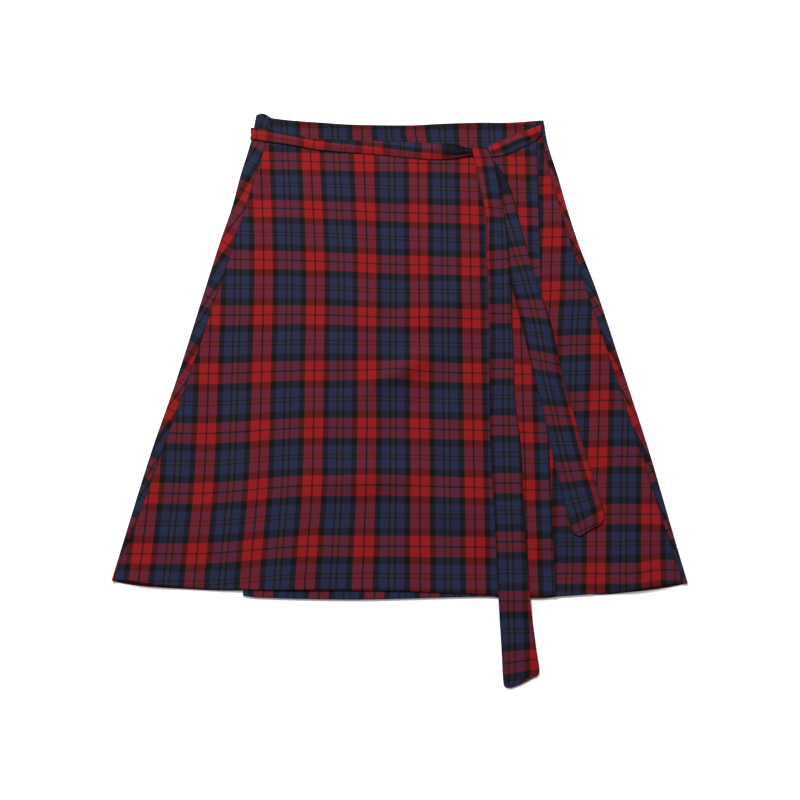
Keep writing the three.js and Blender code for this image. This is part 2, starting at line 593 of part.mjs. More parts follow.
const underwrap = frontPanel({
  left: underwrapEdge,
  right: rightStripEnd,
  hem: underwrapHem,
  waist: (x) => frontWaist(x) - UNDERWRAP_WAIST_DROP,
  height: underwrapHeight,
  columns: UNDERWRAP_COLUMNS,
});
const overwrap = frontPanel({
  left: leftStripEnd,
  right: overwrapEdge,
  hem: overwrapHem,
  waist: frontWaist,
  height: overwrapHeight,
  columns: OVERWRAP_COLUMNS,
});

const skirt = new THREE.Group();
skirt.add(piece('back_panel', backPanel(), PANEL_COLOUR));
skirt.add(piece('underwrap_panel', underwrap, PANEL_COLOUR));
skirt.add(piece('overwrap_panel', overwrap, PANEL_COLOUR));
skirt.add(piece('tie_left_stretch', leftStretch(), TIE_COLOUR));
skirt.add(piece('tie_right_stretch', tieBand(RIGHT_STRETCH, onTheSkirt), TIE_COLOUR));
skirt.add(piece('tie_knot', knotTurn(), TIE_COLOUR));
skirt.add(piece('tie_short_end', tieBand(SHORT_END, onTheSkirt), TIE_COLOUR));
skirt.add(piece('tie_long_end', tieBand(LONG_END, onTheShortEnd), TIE_COLOUR));

export default skirt;
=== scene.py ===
"""A tartan wrap skirt laid flat with its front up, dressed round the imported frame."""

import math

import bpy
import numpy as np
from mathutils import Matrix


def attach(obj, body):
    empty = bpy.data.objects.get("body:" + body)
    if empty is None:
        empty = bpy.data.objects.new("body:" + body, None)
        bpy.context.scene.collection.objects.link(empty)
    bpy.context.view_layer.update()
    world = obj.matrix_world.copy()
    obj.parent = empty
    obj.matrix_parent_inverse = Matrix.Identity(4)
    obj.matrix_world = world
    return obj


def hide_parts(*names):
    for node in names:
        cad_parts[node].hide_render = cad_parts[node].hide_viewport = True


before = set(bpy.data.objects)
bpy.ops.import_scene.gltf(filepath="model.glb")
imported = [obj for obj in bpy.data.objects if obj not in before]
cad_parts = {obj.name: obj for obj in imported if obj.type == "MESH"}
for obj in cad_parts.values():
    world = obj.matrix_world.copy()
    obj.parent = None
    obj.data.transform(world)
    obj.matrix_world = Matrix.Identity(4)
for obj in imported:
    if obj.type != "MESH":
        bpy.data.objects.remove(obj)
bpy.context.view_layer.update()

bl_info = {
    "name": "Wrap Skirt",
    "version": (1, 0, 0),
    "blender": (4, 5, 0),
    "location": "View3D > Sidebar > Wrap Skirt",
    "description": "Makes a tartan wrap skirt laid flat, with its stitching and its stage",
    "category": "Add Mesh",
}

MM = 0.001
BODY = "root"
CLOTH_UV = "cloth"
# Point attribute of painted shade: how much darker the cloth is painted there
PAINTED_SHADE = "pressed"
UP = (0.0, 0.0, 1.0)
DOWN = (0.0, 0.0, -1.0)


def table(names, *rows):
    """A table as a list of rows, with their values under the names of its columns."""
    return [dict(zip(names.split(), row)) for row in rows]


# Middle height of each layer of cloth above the table. Lengths are in millimetres throughout.
BACK_LEVEL = 0.32
UNDERWRAP_LEVEL = 2.1
OVERWRAP_LEVEL = 3.6

# Room between the two layers of a turned edge, under a tie, under one on the table, and between ties
LAYER_ROOM = 0.02
TIE_ROOM = 0.06
TABLE_ROOM = 0.05
CROSSING_ROOM = 0.1

# Width of the back, width of a front and length of a panel, which set how many points each has
BACK_WIDTH = 600
FRONT_WIDTH = 490
PANEL_LENGTH = 580

# Side folds and the side seams inside them, at heights along the skirt
SIDES = table(
    "y left_fold left_seam right_seam right_fold",
    (-247, -340.0, -339.5, 333.3, 338.4),
    (-170, -321.6, -312.7, 312.8, 320.8),
    (-85, -300.3, -287.6, 291.2, 301.3),
    (3, -275.3, -261.0, 267.4, 278.4),
    (118, -246.2, -229.2, 236.3, 247.9),
    (185, -229.2, -210.7, 217.4, 226.8),
    (233, -215.7, -198.0, 205.8, 214.2),
    (280, -205.9, -186.0, 194.0, 203.6),
    (325, -194.8, -174.5, 187.5, 192.2),
    (362, -188.7, -167.5, 184.0, 187.4),
)
NARROWEST_STRIP = 1.2

# Free vertical edges of the two front panels
FREE_EDGES = table(
    "y overwrap underwrap",
    (-266, 182.4, -184.5),
    (-100, 180.2, -174.4),
    (130, 177.6, -160.5),
    (360, 177.8, -146.8),
)

# Waist and hem lines, left to right
BACK_WAIST = table(
    "x y",
    (-190, 363.5), (-184, 367.2), (-177, 366.8), (-169, 361.5), (-150, 355.0), (0, 348.0),
    (150, 352.0), (180, 356.5), (188, 359.0),
)
FRONT_WAIST = table(
    "x y",
    (-169, 361.0), (-144, 357.6), (-104, 354.3), (-64, 351.5), (13, 350.4), (52, 352.5),
    (102, 354.3), (143, 354.3), (186, 357.5),
)
BACK_HEM = table(
    "x y",
    (-340, -243.4), (-322, -247.4), (-302, -250.0), (-262, -252.7), (-205, -255.2), (-150, -254.0),
    (0, -253.0), (186, -257.0), (235, -259.8), (272, -256.8), (300, -253.6), (322, -250.0),
    (338, -246.8),
)
UNDERWRAP_HEM = table(
    "x y",
    (-185, -261.0), (-165, -263.6), (-47, -265.8), (94, -262.6), (165, -264.6), (186, -262.3),
    (235, -258.8), (272, -255.4), (300, -250.8), (322, -247.8), (338, -246.2),
)
OVERWRAP_HEM = table(
    "x y",
    (-340, -243.2), (-322, -243.8), (-302, -247.0), (-262, -251.0), (-205, -254.0), (0, -256.3),
    (94, -259.8), (183, -262.5),
)

# Soft ridges and, with a height below zero, troughs. Lean is in degrees from the Y axis.
OVERWRAP_FOLDS = table(
    "x y height across along lean",
    (-262, -210, 1.4, 42, 80, -14),
    (-300, -250, 2.4, 34, 26, -14),
    (-118, -190, 1.8, 40, 110, -5),
    (-62, 95, 1.6, 40, 120, 4),
    (34, -70, 2.0, 42, 150, -3),
    (-150, 170, 1.5, 36, 110, -10),
    (2, 14, 7.0, 15, 46, -60),
    (34, -24, -2.2, 14, 36, -62),
    (-40, -122, 4.4, 17, 72, -86),
    (66, -160, 3.0, 19, 52, -98),
    (48, 96, 3.4, 20, 46, -70),
    (-96, 38, 1.8, 17, 44, -100),
    (-176, 262, -2.2, 15, 46, -14),
)
UNDERWRAP_FOLDS = table(
    "x y height across along lean",
    (262, -196, 1.8, 30, 80, 14),
    (300, -252, 2.6, 32, 24, 14),
    (228, 40, 1.2, 26, 100, 14),
)

# No fold rises right beside a seam, or past FOLD_REACH, in squares of its size. Where no underwrap
# lies below it the overwrap sinks, from SAG_TOP down, and more at the hem.
SEAM_HOLD = 24.0
FOLD_REACH = 12
LEFT_SAG = 1.2
SAG_TOP = 150.0
SAG_FADE = 100.0
HEM_SAG = 0.45
HEM_SAG_ZONE = (170, 230)

# The underwrap's top edge lies below the front's, and rises to it at the side seam
UNDERWRAP_WAIST_DROP = 1.0
CORNER_RISE = 2.0
CORNER_ZONE = (164, 184)

# Where the cloth's own lines run on the overwrap. At its left, warp lines bow to the left by "bow"
# and weft lines fall by "drop". Weft lines also fall by "tilt" from the left to the right, and as a
# whole by "fall", in the middle by "hump" and beside the free edge by "edge". At the waist the ties
# pull the lines to the left by "shift", most of all at "middle", and down by "left" to "right", and
# just below the left tie down by BELOW_TIE_PULL.
OVERWRAP_GRAIN = table(
    "y bow tilt drop fall hump edge",
    (-262, 5.5, 1.0, 9.0, -0.8, -1.0, 2.4),
    (-240, 5.0, 1.2, 9.2, -0.6, -1.0, 2.4),
    (-205, 3.0, 1.5, 10.0, 0.3, -0.5, 2.3),
    (-132, -0.9, 3.0, 10.6, 0.0, -1.3, 2.2),
    (-60, -1.3, 4.5, 9.0, 0.5, -1.0, 2.0),
    (14, -0.9, 5.0, 6.2, 0.3, -1.8, 0.4),
    (87, -0.5, 8.0, 3.6, 0.0, 1.3, -2.0),
    (160, 0.8, 11.0, 1.6, 0.6, 0.7, -1.0),
    (230, 4.5, 10.8, 0.0, 2.5, 0.4, 0.0),
    (300, 9.2, 6.5, -1.5, 7.3, 0.0, 0.0),
    (360, 13.0, 6.5, -3.5, 7.3, 0.0, 0.0),
)
OVERWRAP_WARP_LINE = 89.2
OVERWRAP_WEFT_LINE = -203.0
EDGE_GATHER = 3.8
WAIST_PULL = dict(start=318, full=342, shift=3.4, middle=14, reach=52, left=3.3, right=1.5, width=110)
BELOW_TIE_PULL = 1.0
BELOW_TIE_ZONE = (262, 290)
BELOW_TIE_FADE = 60

# Where those changes start and are full: to the left of the middle, to its right, and for the hump
# its middle and reach
LEFT_ZONE = (-45, 115)
SIDE_ZONE = (95, 255)
EDGE_ZONE = (95, 150)
HUMP = dict(x=-18, reach=48)
TILT = dict(start=-135, width=300)

# The underwrap's own lines. Warp lines lean about the height LEAN_HEIGHT, and are shifted to the
# right in steps up the skirt and at its lower left. Weft lines fall to the left above the hem, and
# rise at its lower right.
UNDERWRAP_WARP_LINE = 243.8
UNDERWRAP_WEFT_LINE = -23.0
UNDERWRAP_LEAN = 3.45
LEAN_HEIGHT = -9
UNDERWRAP_HEM_STRETCH = 1.028
UNDERWRAP_SHIFTS = table("start end shift", (-130, -50, 1.2), (60, 120, 1.8), (210, 270, -1.8))
UNDERWRAP_LOW_ZONE = (150, 225)
LOWER_LEFT = dict(x=250, fade=50, shift=2.2)
LOWER_RIGHT = dict(across=(274, 308), down=(195, 222), rise=4.0)
UNDERWRAP_TILT = dict(x=262, slope=0.035)

# The back panel's own lines, at its left and at its right
BACK_GRAIN = table(
    "x lean warp_line weft_line stretch",
    (-150, -2.0, 38.7, 50.5, 1.0),
    (150, -1.5, 29.6, 24.0, 1.02),
)
SIDE_LEAN = 14.0

# Ties, as rows along each. a and b are the two edges, lift is what the tie rides up over, and a
# lengthwise fold of the band stands up by ridge at the share fold of its width.
LEFT_STRETCH = table(
    "ax ay bx by lift thick ridge fold",
    (-193.4, 346.6, -193.4, 330.2, 0, 1.2, 0.0, 0.45),
    (-177.0, 344.2, -178.0, 326.6, 0, 1.3, 0.9, 0.45),
    (-154.6, 339.6, -154.6, 323.1, 0, 1.4, 1.4, 0.45),
    (-129.0, 333.8, -129.0, 318.6, 0, 1.4, 1.6, 0.45),
    (-101.0, 329.3, -103.0, 313.7, 0, 1.4, 1.6, 0.5),
    (-48.0, 328.1, -48.0, 309.4, 0, 1.4, 1.8, 0.6),
    (-14.0, 326.8, -14.0, 306.2, 0, 1.4, 1.8, 0.6),
    (34.0, 324.6, 34.0, 301.2, 0, 1.4, 1.8, 0.6),
    (66.0, 322.8, 66.0, 301.6, 0.6, 1.4, 2.4, 0.62),
    (89.0, 316.0, 91.0, 306.0, 1.9, 1.6, 1.1, 0.55),
    (112.0, 314.8, 112.0, 304.2, 1.9, 1.6, 0.6, 0.5),
)
RIGHT_STRETCH = table(
    "ax ay bx by lift thick ridge fold",
    (184.4, 350.6, 183.8, 336.6, 0, 1.6, 0.6, 0.5),
    (168.2, 344.1, 174.2, 326.6, 0, 1.4, 1.5, 0.45),
    (149.8, 336.4, 158.4, 318.0, 0, 1.4, 1.9, 0.42),
    (134.0, 329.1, 143.3, 310.0, 0, 1.4, 1.9, 0.42),
    (122.2, 323.3, 129.6, 305.7, 0, 1.4, 1.2, 0.5),
    (115.2, 319.3, 116.6, 304.4, 0, 1.4, 0.4, 0.5),
)
SHORT_END = table(
    "ax ay bx by lift thick ridge fold",
    (97.0, 301.0, 118.6, 301.5, 1.2, 1.6, 0.0, 0.8),
    (105.0, 280.0, 131.4, 284.0, 0.1, 1.6, 0.2, 0.85),
    (113.0, 250.0, 143.0, 257.0, 0.0, 1.8, 0.6, 0.8),
    (120.5, 218.0, 150.7, 222.0, 0, 2.0, 0.8, 0.75),
    (129.0, 176.0, 160.0, 180.0, 0, 2.0, 0.8, 0.75),
    (140.0, 128.0, 172.0, 131.0, 0, 2.0, 0.8, 0.75),
    (151.0, 77.0, 189.0, 72.0, 0, 2.0, 0.8, 0.75),
    (164.0, 12.0, 200.5, 5.0, 0, 2.0, 0.6, 0.8),
    (174.4, -37.7, 212.0, -39.0, 0, 2.0, 0.5, 0.8),
    (182.7, -83.0, 222.8, -82.0, 0, 2.0, 0.6, 0.8),
    (191.0, -126.0, 233.5, -122.5, 0, 2.0, 1.0, 0.8),
    (199.2, -161.4, 240.5, -148.0, 0, 2.0, 1.2, 0.75),
    (204.5, -182.5, 243.7, -162.0, 0, 2.0, 1.0, 0.7),
    (207.5, -189.0, 241.5, -174.5, 0, 2.0, 0.6, 0.7),
    (213.0, -191.4, 232.0, -180.0, 0, 2.0, 0.0, 0.7),
)
LONG_END = table(
    "ax ay bx by lift thick ridge fold",
    (96.2, 298.7, 118.7, 298.7, 4.6, 1.6, 0.6, 0.3),
    (98.6, 285.0, 122.7, 285.0, 4.5, 1.8, 0.6, 0.3),
    (104.0, 253.0, 129.3, 253.0, 3.4, 2.0, 0.8, 0.25),
    (109.3, 220.5, 132.8, 219.0, 1.6, 2.0, 0.8, 0.25),
    (109.6, 170.0, 137.6, 170.0, 0.2, 2.0, 0.6, 0.25),
    (111.0, 100.0, 138.8, 100.0, 0, 2.0, 0.4, 0.25),
    (111.0, 30.0, 140.3, 30.0, 0, 2.0, 0.3, 0.3),
    (109.6, -24.0, 140.2, -24.0, 0, 2.0, 0.3, 0.4),
    (109.5, -76.0, 145.7, -76.0, 0, 2.0, 0.3, 0.5),
    (112.2, -150.0, 147.8, -150.0, 0, 2.0, 0.3, 0.6),
    (114.3, -225.0, 150.4, -225.0, 0, 2.0, 0.3, 0.7),
    (115.2, -262.0, 152.0, -262.0, 0, 2.0, 0.3, 0.7),
    (116.6, -292.0, 154.8, -292.0, 0, 2.0, 0.4, 0.75),
    (118.0, -325.0, 158.0, -322.0, 0, 2.0, 0.4, 0.75),
    (119.0, -357.0, 160.6, -349.5, 0, 2.0, 0.3, 0.7),
    (121.0, -365.4, 152.0, -356.4, 0, 2.0, 0.1, 0.6),
    (127.5, -367.2, 139.0, -363.2, 0, 2.0, 0.0, 0.5),
)

# The knot's band: its lower end, where it turns up round the left tie, and its upper end
KNOT = table(
    "ax ay bx by lift thick ridge fold",
    (98.0, 299.0, 113.2, 299.0, 0, 1.5, 0.3, 0.4),
    (92.8, 317.1, 113.2, 313.9, 0, 1.5, 0.3, 0.4),
    (96.0, 299.0, 118.5, 299.0, 0, 1.5, 0.3, 0.4),
)
KNOT_INNER_RADIUS = 1.6
TIE_THICK = 2.0

# Where what carries a tie sinks: past the overwrap's free edge, over its turned hem, past its hem,
# and beside the short end, where the long one crosses it
EDGE_SLOPE = dict(start=3, end=16)
TURNED_HEM_SLOPE = dict(start=22, end=30)
HEM_SLOPE = dict(start=4, end=34)
CROSSING_SLOPE = dict(start=14, end=3)

# The slit in the left side fold, in heights and in shares of the way round the fold, and the inner
# end and the level of the tie that runs through it
SLIT = dict(bottom=328, top=348.8, start=0.2, end=0.8)
INNER_END = dict(ax=-149.0, ay=349.0, bx=-149.0, by=333.0)
INNER_LEVEL = UNDERWRAP_LEVEL + 0.62

# Where the left tie's end at the side fold is pinched in between two folds of its cloth
NOTCH = dict(share=0.58, width=0.09, depth=1.3)

# Lengthwise creases of the left tie, from place start to place end
LEFT_CREASES = table(
    "start end from_share to_share width height",
    (-0.5, 3.6, 0.58, 0.72, 0.07, -0.55),
    (6.2, 10.0, 0.86, 0.55, 0.10, 0.8),
)

# Where the ties get painted shade beside the knot, in place of the shadow there, and how much darker they
# are there. Places are rows of a tie's table.
LEFT_KNOT_SHADOW = dict(full=8.3, unshaded=7.1, depth=2.1)
SHORT_KNOT_SHADOW = dict(full=1.5, unshaded=2.5, depth=2.8)
KNOT_SHADOW_REACH = 1.3

# A turned edge: its first line of points on the face, where the fine lines end, and the steps round its
# fold. Painted shade darkens the cloth at the edge itself and softly below the waist edge.
FIRST_PLACE = 0.8
FINE_ZONE = 3.0
FOLD_STEPS = 6
EDGE_PAINTED_SHADE = 1.3
WAIST_PAINTED_SHADE = dict(depth=0.5, start=4, end=18)

# How a panel rolls down into a side seam: distance from the seam, and how far it has dropped
SEAM_ROLL = table("place drop", (0.0, -0.75), (0.12, -0.4), (0.4, -0.13), (0.9, -0.02), (1.8, 0.0))
SEAM_ROLL_WIDTH = 1.8
# Painted shade where a panel rolls down into a side seam
SEAM_PAINTED_SHADE = 0.3
SEAM_OVERLAP = 0.1

# How much painted shade darkens a tie's edges, the steps round each, and the angle from which a mesh edge is
# sharp
TIE_EDGE_PAINTED_SHADE = 0.7
EDGE_STEPS = 6
SHARP_ANGLE = 52

# How often a point's two places are worked out from each other until they settle
SETTLE_ROUNDS = 5


def clamp(value, low=0.0, high=1.0):
    return max(low, min(high, value))


def lerp(a, b, share):
    return a + (b - a) * share


def smoothstep(value, low, high):
    share = clamp((value - low) / (high - low))
    return share * share * (3 - 2 * share)


def curve_through(rows, source, target):
    """A smooth curve through a table: one column as a function of another."""
    last = len(rows) - 1
    slopes = []
    for k in range(last + 1):
        before, after = rows[max(k - 1, 0)], rows[min(k + 1, last)]
        slopes.append((after[target] - before[target]) / (after[source] - before[source]))

    def curve(at):
        k = 0
        while k < last - 1 and at > rows[k + 1][source]:
            k += 1
        span = rows[k + 1][source] - rows[k][source]
        s = clamp((at - rows[k][source]) / span)
        rise = rows[k + 1][target] - rows[k][target]
        cubic = (slopes[k] + slopes[k + 1]) * span - 2 * rise
        square = 3 * rise - (2 * slopes[k] + slopes[k + 1]) * span
        return ((cubic * s + square) * s + slopes[k] * span) * s + rows[k][target]

    return curve


def between(first, second, share):
    """A row part of the way from one row of a table to another."""
    return {name: lerp(first[name], second[name], share) for name in first}


def row_at(rows, place):
    """All columns of a table at a place between two of its rows."""
    last = len(rows) - 1
    k = min(int(place), last - 1)
    share = place - k
    near = [rows[min(max(n, 0), last)] for n in (k - 1, k, k + 1, k + 2)]
    found = {}
    for name in near[1]:
        a, b, c, d = (row[name] for row in near)
        start_slope, end_slope = (c - a) / 2, (d - b) / 2
        cubic = 2 * (b - c) + start_slope + end_slope
        square = 3 * (c - b) - 2 * start_slope - end_slope
        found[name] = ((cubic * share + square) * share + start_slope) * share + b
    return found


left_fold, left_seam, right_seam, right_fold = (
    curve_through(SIDES, "y", name) for name in ("left_fold", "left_seam", "right_seam", "right_fold"))
overwrap_edge, underwrap_edge = (
    curve_through(FREE_EDGES, "y", name) for name in ("overwrap", "underwrap"))
back_waist, front_waist, back_hem, underwrap_hem, overwrap_hem = (
    curve_through(line, "x", "y") for line in (BACK_WAIST, FRONT_WAIST, BACK_HEM, UNDERWRAP_HEM,
                                               OVERWRAP_HEM))
grain_bow, grain_tilt, grain_drop, grain_fall, grain_hump, grain_edge = (
    curve_through(OVERWRAP_GRAIN, "y", name) for name in ("bow", "tilt", "drop", "fall", "hump", "edge"))
short_end_left, short_end_lift, short_end_ridge = (
    curve_through(SHORT_END[::-1], "ay", name) for name in ("ax", "lift", "ridge"))

LEFT_FOLD_RADIUS = (OVERWRAP_LEVEL - BACK_LEVEL) / 2
RIGHT_FOLD_RADIUS = (UNDERWRAP_LEVEL - BACK_LEVEL) / 2


def left_strip_end(y):
    return max(left_seam(y), left_fold(y) + LEFT_FOLD_RADIUS + NARROWEST_STRIP)


def right_strip_end(y):
    return min(right_seam(y), right_fold(y) - RIGHT_FOLD_RADIUS - NARROWEST_STRIP)


def fold_height(folds, x, y):
    """Height added at a place by a table of ridges and troughs."""
    height = 0.0
    for fold in folds:
        lean = math.radians(fold["lean"])
        dx, dy = x - fold["x"], y - fold["y"]
        across = (dx * math.cos(lean) + dy * math.sin(lean)) / fold["across"]
        along = (dy * math.cos(lean) - dx * math.sin(lean)) / fold["along"]
        reach = across * across + along * along
        if reach < FOLD_REACH:
            height += fold["height"] * math.exp(-reach)
    return height


def underwrap_waist(x):
    """The underwrap's top edge, a little lower than the front's and higher at the side seam."""
    return front_waist(x) - UNDERWRAP_WAIST_DROP + CORNER_RISE * smoothstep(x, *CORNER_ZONE)


def underwrap_height(x, y):
    free = smoothstep(right_seam(y) - x, 0, SEAM_HOLD)
    return UNDERWRAP_LEVEL + free * fold_height(UNDERWRAP_FOLDS, x, y)


def left_sag(x, y):
    """How far the overwrap sinks where no underwrap lies below it."""
    share = (x - left_seam(y)) / (underwrap_edge(y) - left_seam(y))
    wave = math.sin(math.pi * clamp(share))
    depth = LEFT_SAG * smoothstep(SAG_TOP - y, 0, SAG_FADE) + HEM_SAG * smoothstep(-y, *HEM_SAG_ZONE)
    return depth * wave * wave


def overwrap_height(x, y):
    free = smoothstep(x - left_seam(y), 0, SEAM_HOLD)
    raised = free * fold_height(OVERWRAP_FOLDS, x, y) + fold_height(UNDERWRAP_FOLDS, x, y)
    return OVERWRAP_LEVEL + raised - left_sag(x, y)


def overwrap_grain(x, y):
    """Cloth coordinates of a place on the overwrap, across and along the cloth."""
    left_share = smoothstep(-x, *LEFT_ZONE)
    side_share = smoothstep(-x, *SIDE_ZONE)
    edge_share = smoothstep(x, *EDGE_ZONE)
    middle_share = math.exp(-((x - HUMP["x"]) / HUMP["reach"]) ** 2)
    waist_share = smoothstep(y, WAIST_PULL["start"], WAIST_PULL["full"])
    below_tie_share = (1 - waist_share) * smoothstep(y, *BELOW_TIE_ZONE)
    across = x + grain_bow(y) * left_share + EDGE_GATHER * edge_share - OVERWRAP_WARP_LINE
    away = (x - WAIST_PULL["middle"]) / WAIST_PULL["reach"]
    across += WAIST_PULL["shift"] * waist_share * math.exp(-away ** 2)
    fall = grain_fall(y) + grain_tilt(y) * (x - TILT["start"]) / TILT["width"]
    fall += grain_drop(y) * side_share
    fall += grain_hump(y) * middle_share + grain_edge(y) * edge_share
    to_right = smoothstep(x, 0, WAIST_PULL["width"])
    fall += lerp(WAIST_PULL["left"], WAIST_PULL["right"], to_right) * waist_share
    fall += BELOW_TIE_PULL * below_tie_share * smoothstep(-x, 0, BELOW_TIE_FADE)
    return across, y + fall - OVERWRAP_WEFT_LINE


def underwrap_grain(x, y):
    """Cloth coordinates of a place on the underwrap."""
    low = smoothstep(-y, *UNDERWRAP_LOW_ZONE)
    lower_right = smoothstep(x, *LOWER_RIGHT["across"]) * smoothstep(-y, *LOWER_RIGHT["down"])
    across = x - UNDERWRAP_WARP_LINE - math.tan(math.radians(UNDERWRAP_LEAN)) * (y - LEAN_HEIGHT)
    across -= sum(row["shift"] * smoothstep(y, row["start"], row["end"]) for row in UNDERWRAP_SHIFTS)
    across -= LOWER_LEFT["shift"] * low * smoothstep(LOWER_LEFT["x"] - x, 0, LOWER_LEFT["fade"])
    fall = UNDERWRAP_TILT["slope"] * max(0.0, UNDERWRAP_TILT["x"] - x) * (1 - low)
    along = y - UNDERWRAP_WEFT_LINE + fall - LOWER_RIGHT["rise"] * lower_right
    return across, along * (UNDERWRAP_HEM_STRETCH if along < 0 else 1.0)


def back_grain(x, y):
    """Cloth coordinates of a place on the back panel, opened out flat."""
    left, right = BACK_GRAIN
    row = between(left, right, smoothstep(x, left["x"], right["x"]))
    lean = math.radians(row["lean"])
    across = x * math.cos(lean) - y * math.sin(lean) - row["warp_line"]
    along = x * math.sin(lean) + y * math.cos(lean) - row["weft_line"]
    return across, along * row["stretch"]


def unfolded(x, y, fold_x, lean):
    """Where a place on a side strip lies once the back panel is opened out flat."""
    turn = math.radians(lean)
    return x - 2 * (x - fold_x) * math.cos(turn) ** 2, y + (x - fold_x) * math.sin(2 * turn)


class Sheet:
    """Points of a cloth's middle surface with their cloth coordinates, and the faces between."""

    def __init__(self):
        self.points = []
        self.cloth = []
        self.pressed = []
        self.faces = []

    def add(self, point, cloth, pressed=0.0):
        self.points.append(point)
        self.cloth.append(cloth)
        self.pressed.append(pressed)
        return len(self.points) - 1

    def join(self, grid, skip=None, closed=False):
        """Faces between the rows and columns of a grid of point numbers."""
        for i in range(len(grid) - 1):
            columns = len(grid[i])
            for j in range(columns if closed else columns - 1):
                if skip is None or not skip(i, j):
                    k = (j + 1) % columns
                    self.faces.append((grid[i][j], grid[i][k], grid[i + 1][k], grid[i + 1][j]))


def point_normals(points, faces):
    """Unit normals of a mesh's points."""
    a, b, c, d = (points[faces[:, k]] for k in range(4))
    face_normals = np.cross(c - a, d - b)
    normals = np.zeros_like(points)
    for k in range(4):
        np.add.at(normals, faces[:, k], face_normals)
    return normals / np.maximum(np.linalg.norm(normals, axis=1, keepdims=True), 1e-12)


def thicken(sheet, thickness):
    """The two sides of a sheet and the rim round its open edges, as points and faces."""
    points = np.array(sheet.points)
    faces = np.array(sheet.faces)
    normals = point_normals(points, faces)
    count = len(points)
    both = np.concatenate([points + normals * thickness / 2, points - normals * thickness / 2])
    edges = {}
    for face in sheet.faces:
        for k in range(4):
            a, b = face[k], face[(k + 1) % 4]
            if (b, a) in edges:
                del edges[(b, a)]
            else:
                edges[(a, b)] = True
    rim = [(b, a, a + count, b + count) for a, b in edges]
    back = faces[:, ::-1] + count
    return both, [tuple(f) for f in faces.tolist()] + [tuple(f) for f in back.tolist()] + rim


def mesh_piece(name, points, faces, material, cloth=None, pressed=None):
    """An object from points in millimetres, with its cloth coordinates and its painted shade."""
    mesh = bpy.data.meshes.new(name)
    mesh.from_pydata((np.array(points) * MM).tolist(), [], faces)
    if cloth is not None:
        layer = mesh.uv_layers.new(name=CLOTH_UV)
        numbers = np.empty(len(mesh.loops), dtype=np.int32)
        mesh.loops.foreach_get("vertex_index", numbers)
        layer.data.foreach_set("uv", (np.array(cloth)[numbers] * MM).ravel())
    if pressed is not None:
        attribute = mesh.attributes.new(PAINTED_SHADE, "FLOAT", "POINT")
        attribute.data.foreach_set("value", np.array(pressed, dtype=np.float32))
    mesh.shade_smooth()
    mesh.set_sharp_from_angle(angle=math.radians(SHARP_ANGLE))
    mesh.materials.append(material)
    piece = bpy.data.objects.new(name, mesh)
    bpy.context.scene.collection.objects.link(piece)
    return piece


def cloth_piece(name, sheet, thickness, material, node):
    points, faces = thicken(sheet, thickness)
    cloth = sheet.cloth + sheet.cloth
    piece = mesh_piece(name, points, faces, material, cloth, sheet.pressed + sheet.pressed)
    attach(piece, BODY)
    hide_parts(node)
    return piece


def steps(start, end, count):
    return [lerp(start, end, k / count) for k in range(count + 1)]


def turned_lines(depth, fade=6.0, step=4.0):
    """Lines across a turned edge, which is two layers of cloth round a fold.

    level is 1 on the face, -1 on the part that is turned in, and between them round the fold, where
    place is in fold radii.
    """
    lines = [dict(part="turned", place=place, level=-1.0) for place in steps(depth, FIRST_PLACE, 5)]
    for share in steps(0, 1, FOLD_STEPS):
        turn = math.pi * (share - 0.5)
        lines.append(dict(part="fold", place=1 - math.cos(turn), level=math.sin(turn)))
    far = steps(FINE_ZONE, depth, max(2, round((depth - FINE_ZONE) / step)))[1:]
    for place in [FIRST_PLACE, 2 * FIRST_PLACE, FINE_ZONE] + far:
        lines.append(dict(part="face", place=place, level=1.0))
    for share in steps(0, 1, 4)[1:]:
        lines.append(dict(part="face", place=depth + fade * share, level=1 - smoothstep(share, 0, 1)))
    return lines


def line_painted_shade(line):
    """How much painted shade darkens the cloth at a line of a panel."""
    if line["part"] == "turned" or line.get("side") == "middle":
        return 0.0
    pressed = clamp(EDGE_PAINTED_SHADE - line["place"])
    if line.get("side") == "waist":
        fade = smoothstep(line["place"], WAIST_PAINTED_SHADE["start"], WAIST_PAINTED_SHADE["end"])
        pressed = max(pressed, WAIST_PAINTED_SHADE["depth"] * (1 - fade))
    return pressed


def seam_lines(side):
    """Columns where a panel rolls down into a side seam; side is 1 at its left and -1 at its right."""
    lines = [dict(offset=side * row["place"], plain=0.0, drop=row["drop"],
                  pressed=SEAM_PAINTED_SHADE * (row["place"] < 1)) for row in SEAM_ROLL]
    return lines[::side]


def turned_columns(depth, half, side):
    """Columns across a free edge that is turned in; side is 1 at a left edge and -1 at a right."""
    columns = []
    for line in turned_lines(depth):
        place = line["place"] * (half if line["part"] == "fold" else 1.0)
        columns.append(dict(offset=side * place, plain=half * line["level"], drop=0.0,
                            pressed=line_painted_shade(line), turned=line["part"] != "face"))
    return columns[::side]


def column_line(left_columns, right_columns, count):
    """All columns of a panel, those near an edge measured from it and the rest between them."""
    left_zone = max(column["offset"] for column in left_columns)
    right_zone = min(column["offset"] for column in right_columns)
    columns = [dict(column, share=0.0) for column in left_columns]
    for share in steps(0, 1, count)[1:-1]:
        columns.append(dict(share=share, offset=lerp(left_zone, right_zone, share), plain=0.0, drop=0.0,
                            pressed=0.0))
    return columns + [dict(column, share=1.0) for column in right_columns]


def row_line(hem_depth, waist_depth, count):
    """All rows of a panel from the turned part of its hem to that of its waist."""
    hem, waist = turned_lines(hem_depth), turned_lines(waist_depth)
    rows = [dict(line, side="hem") for line in hem]
    hem_zone, waist_zone = hem[-1]["place"], waist[-1]["place"]
    for share in steps(0, 1, count)[1:-1]:
        place = dict(share=share, hem_zone=hem_zone, waist_zone=waist_zone)
        rows.append(dict(side="middle", part="face", level=0.0, place=place))
    return rows + [dict(line, side="waist") for line in reversed(waist)]


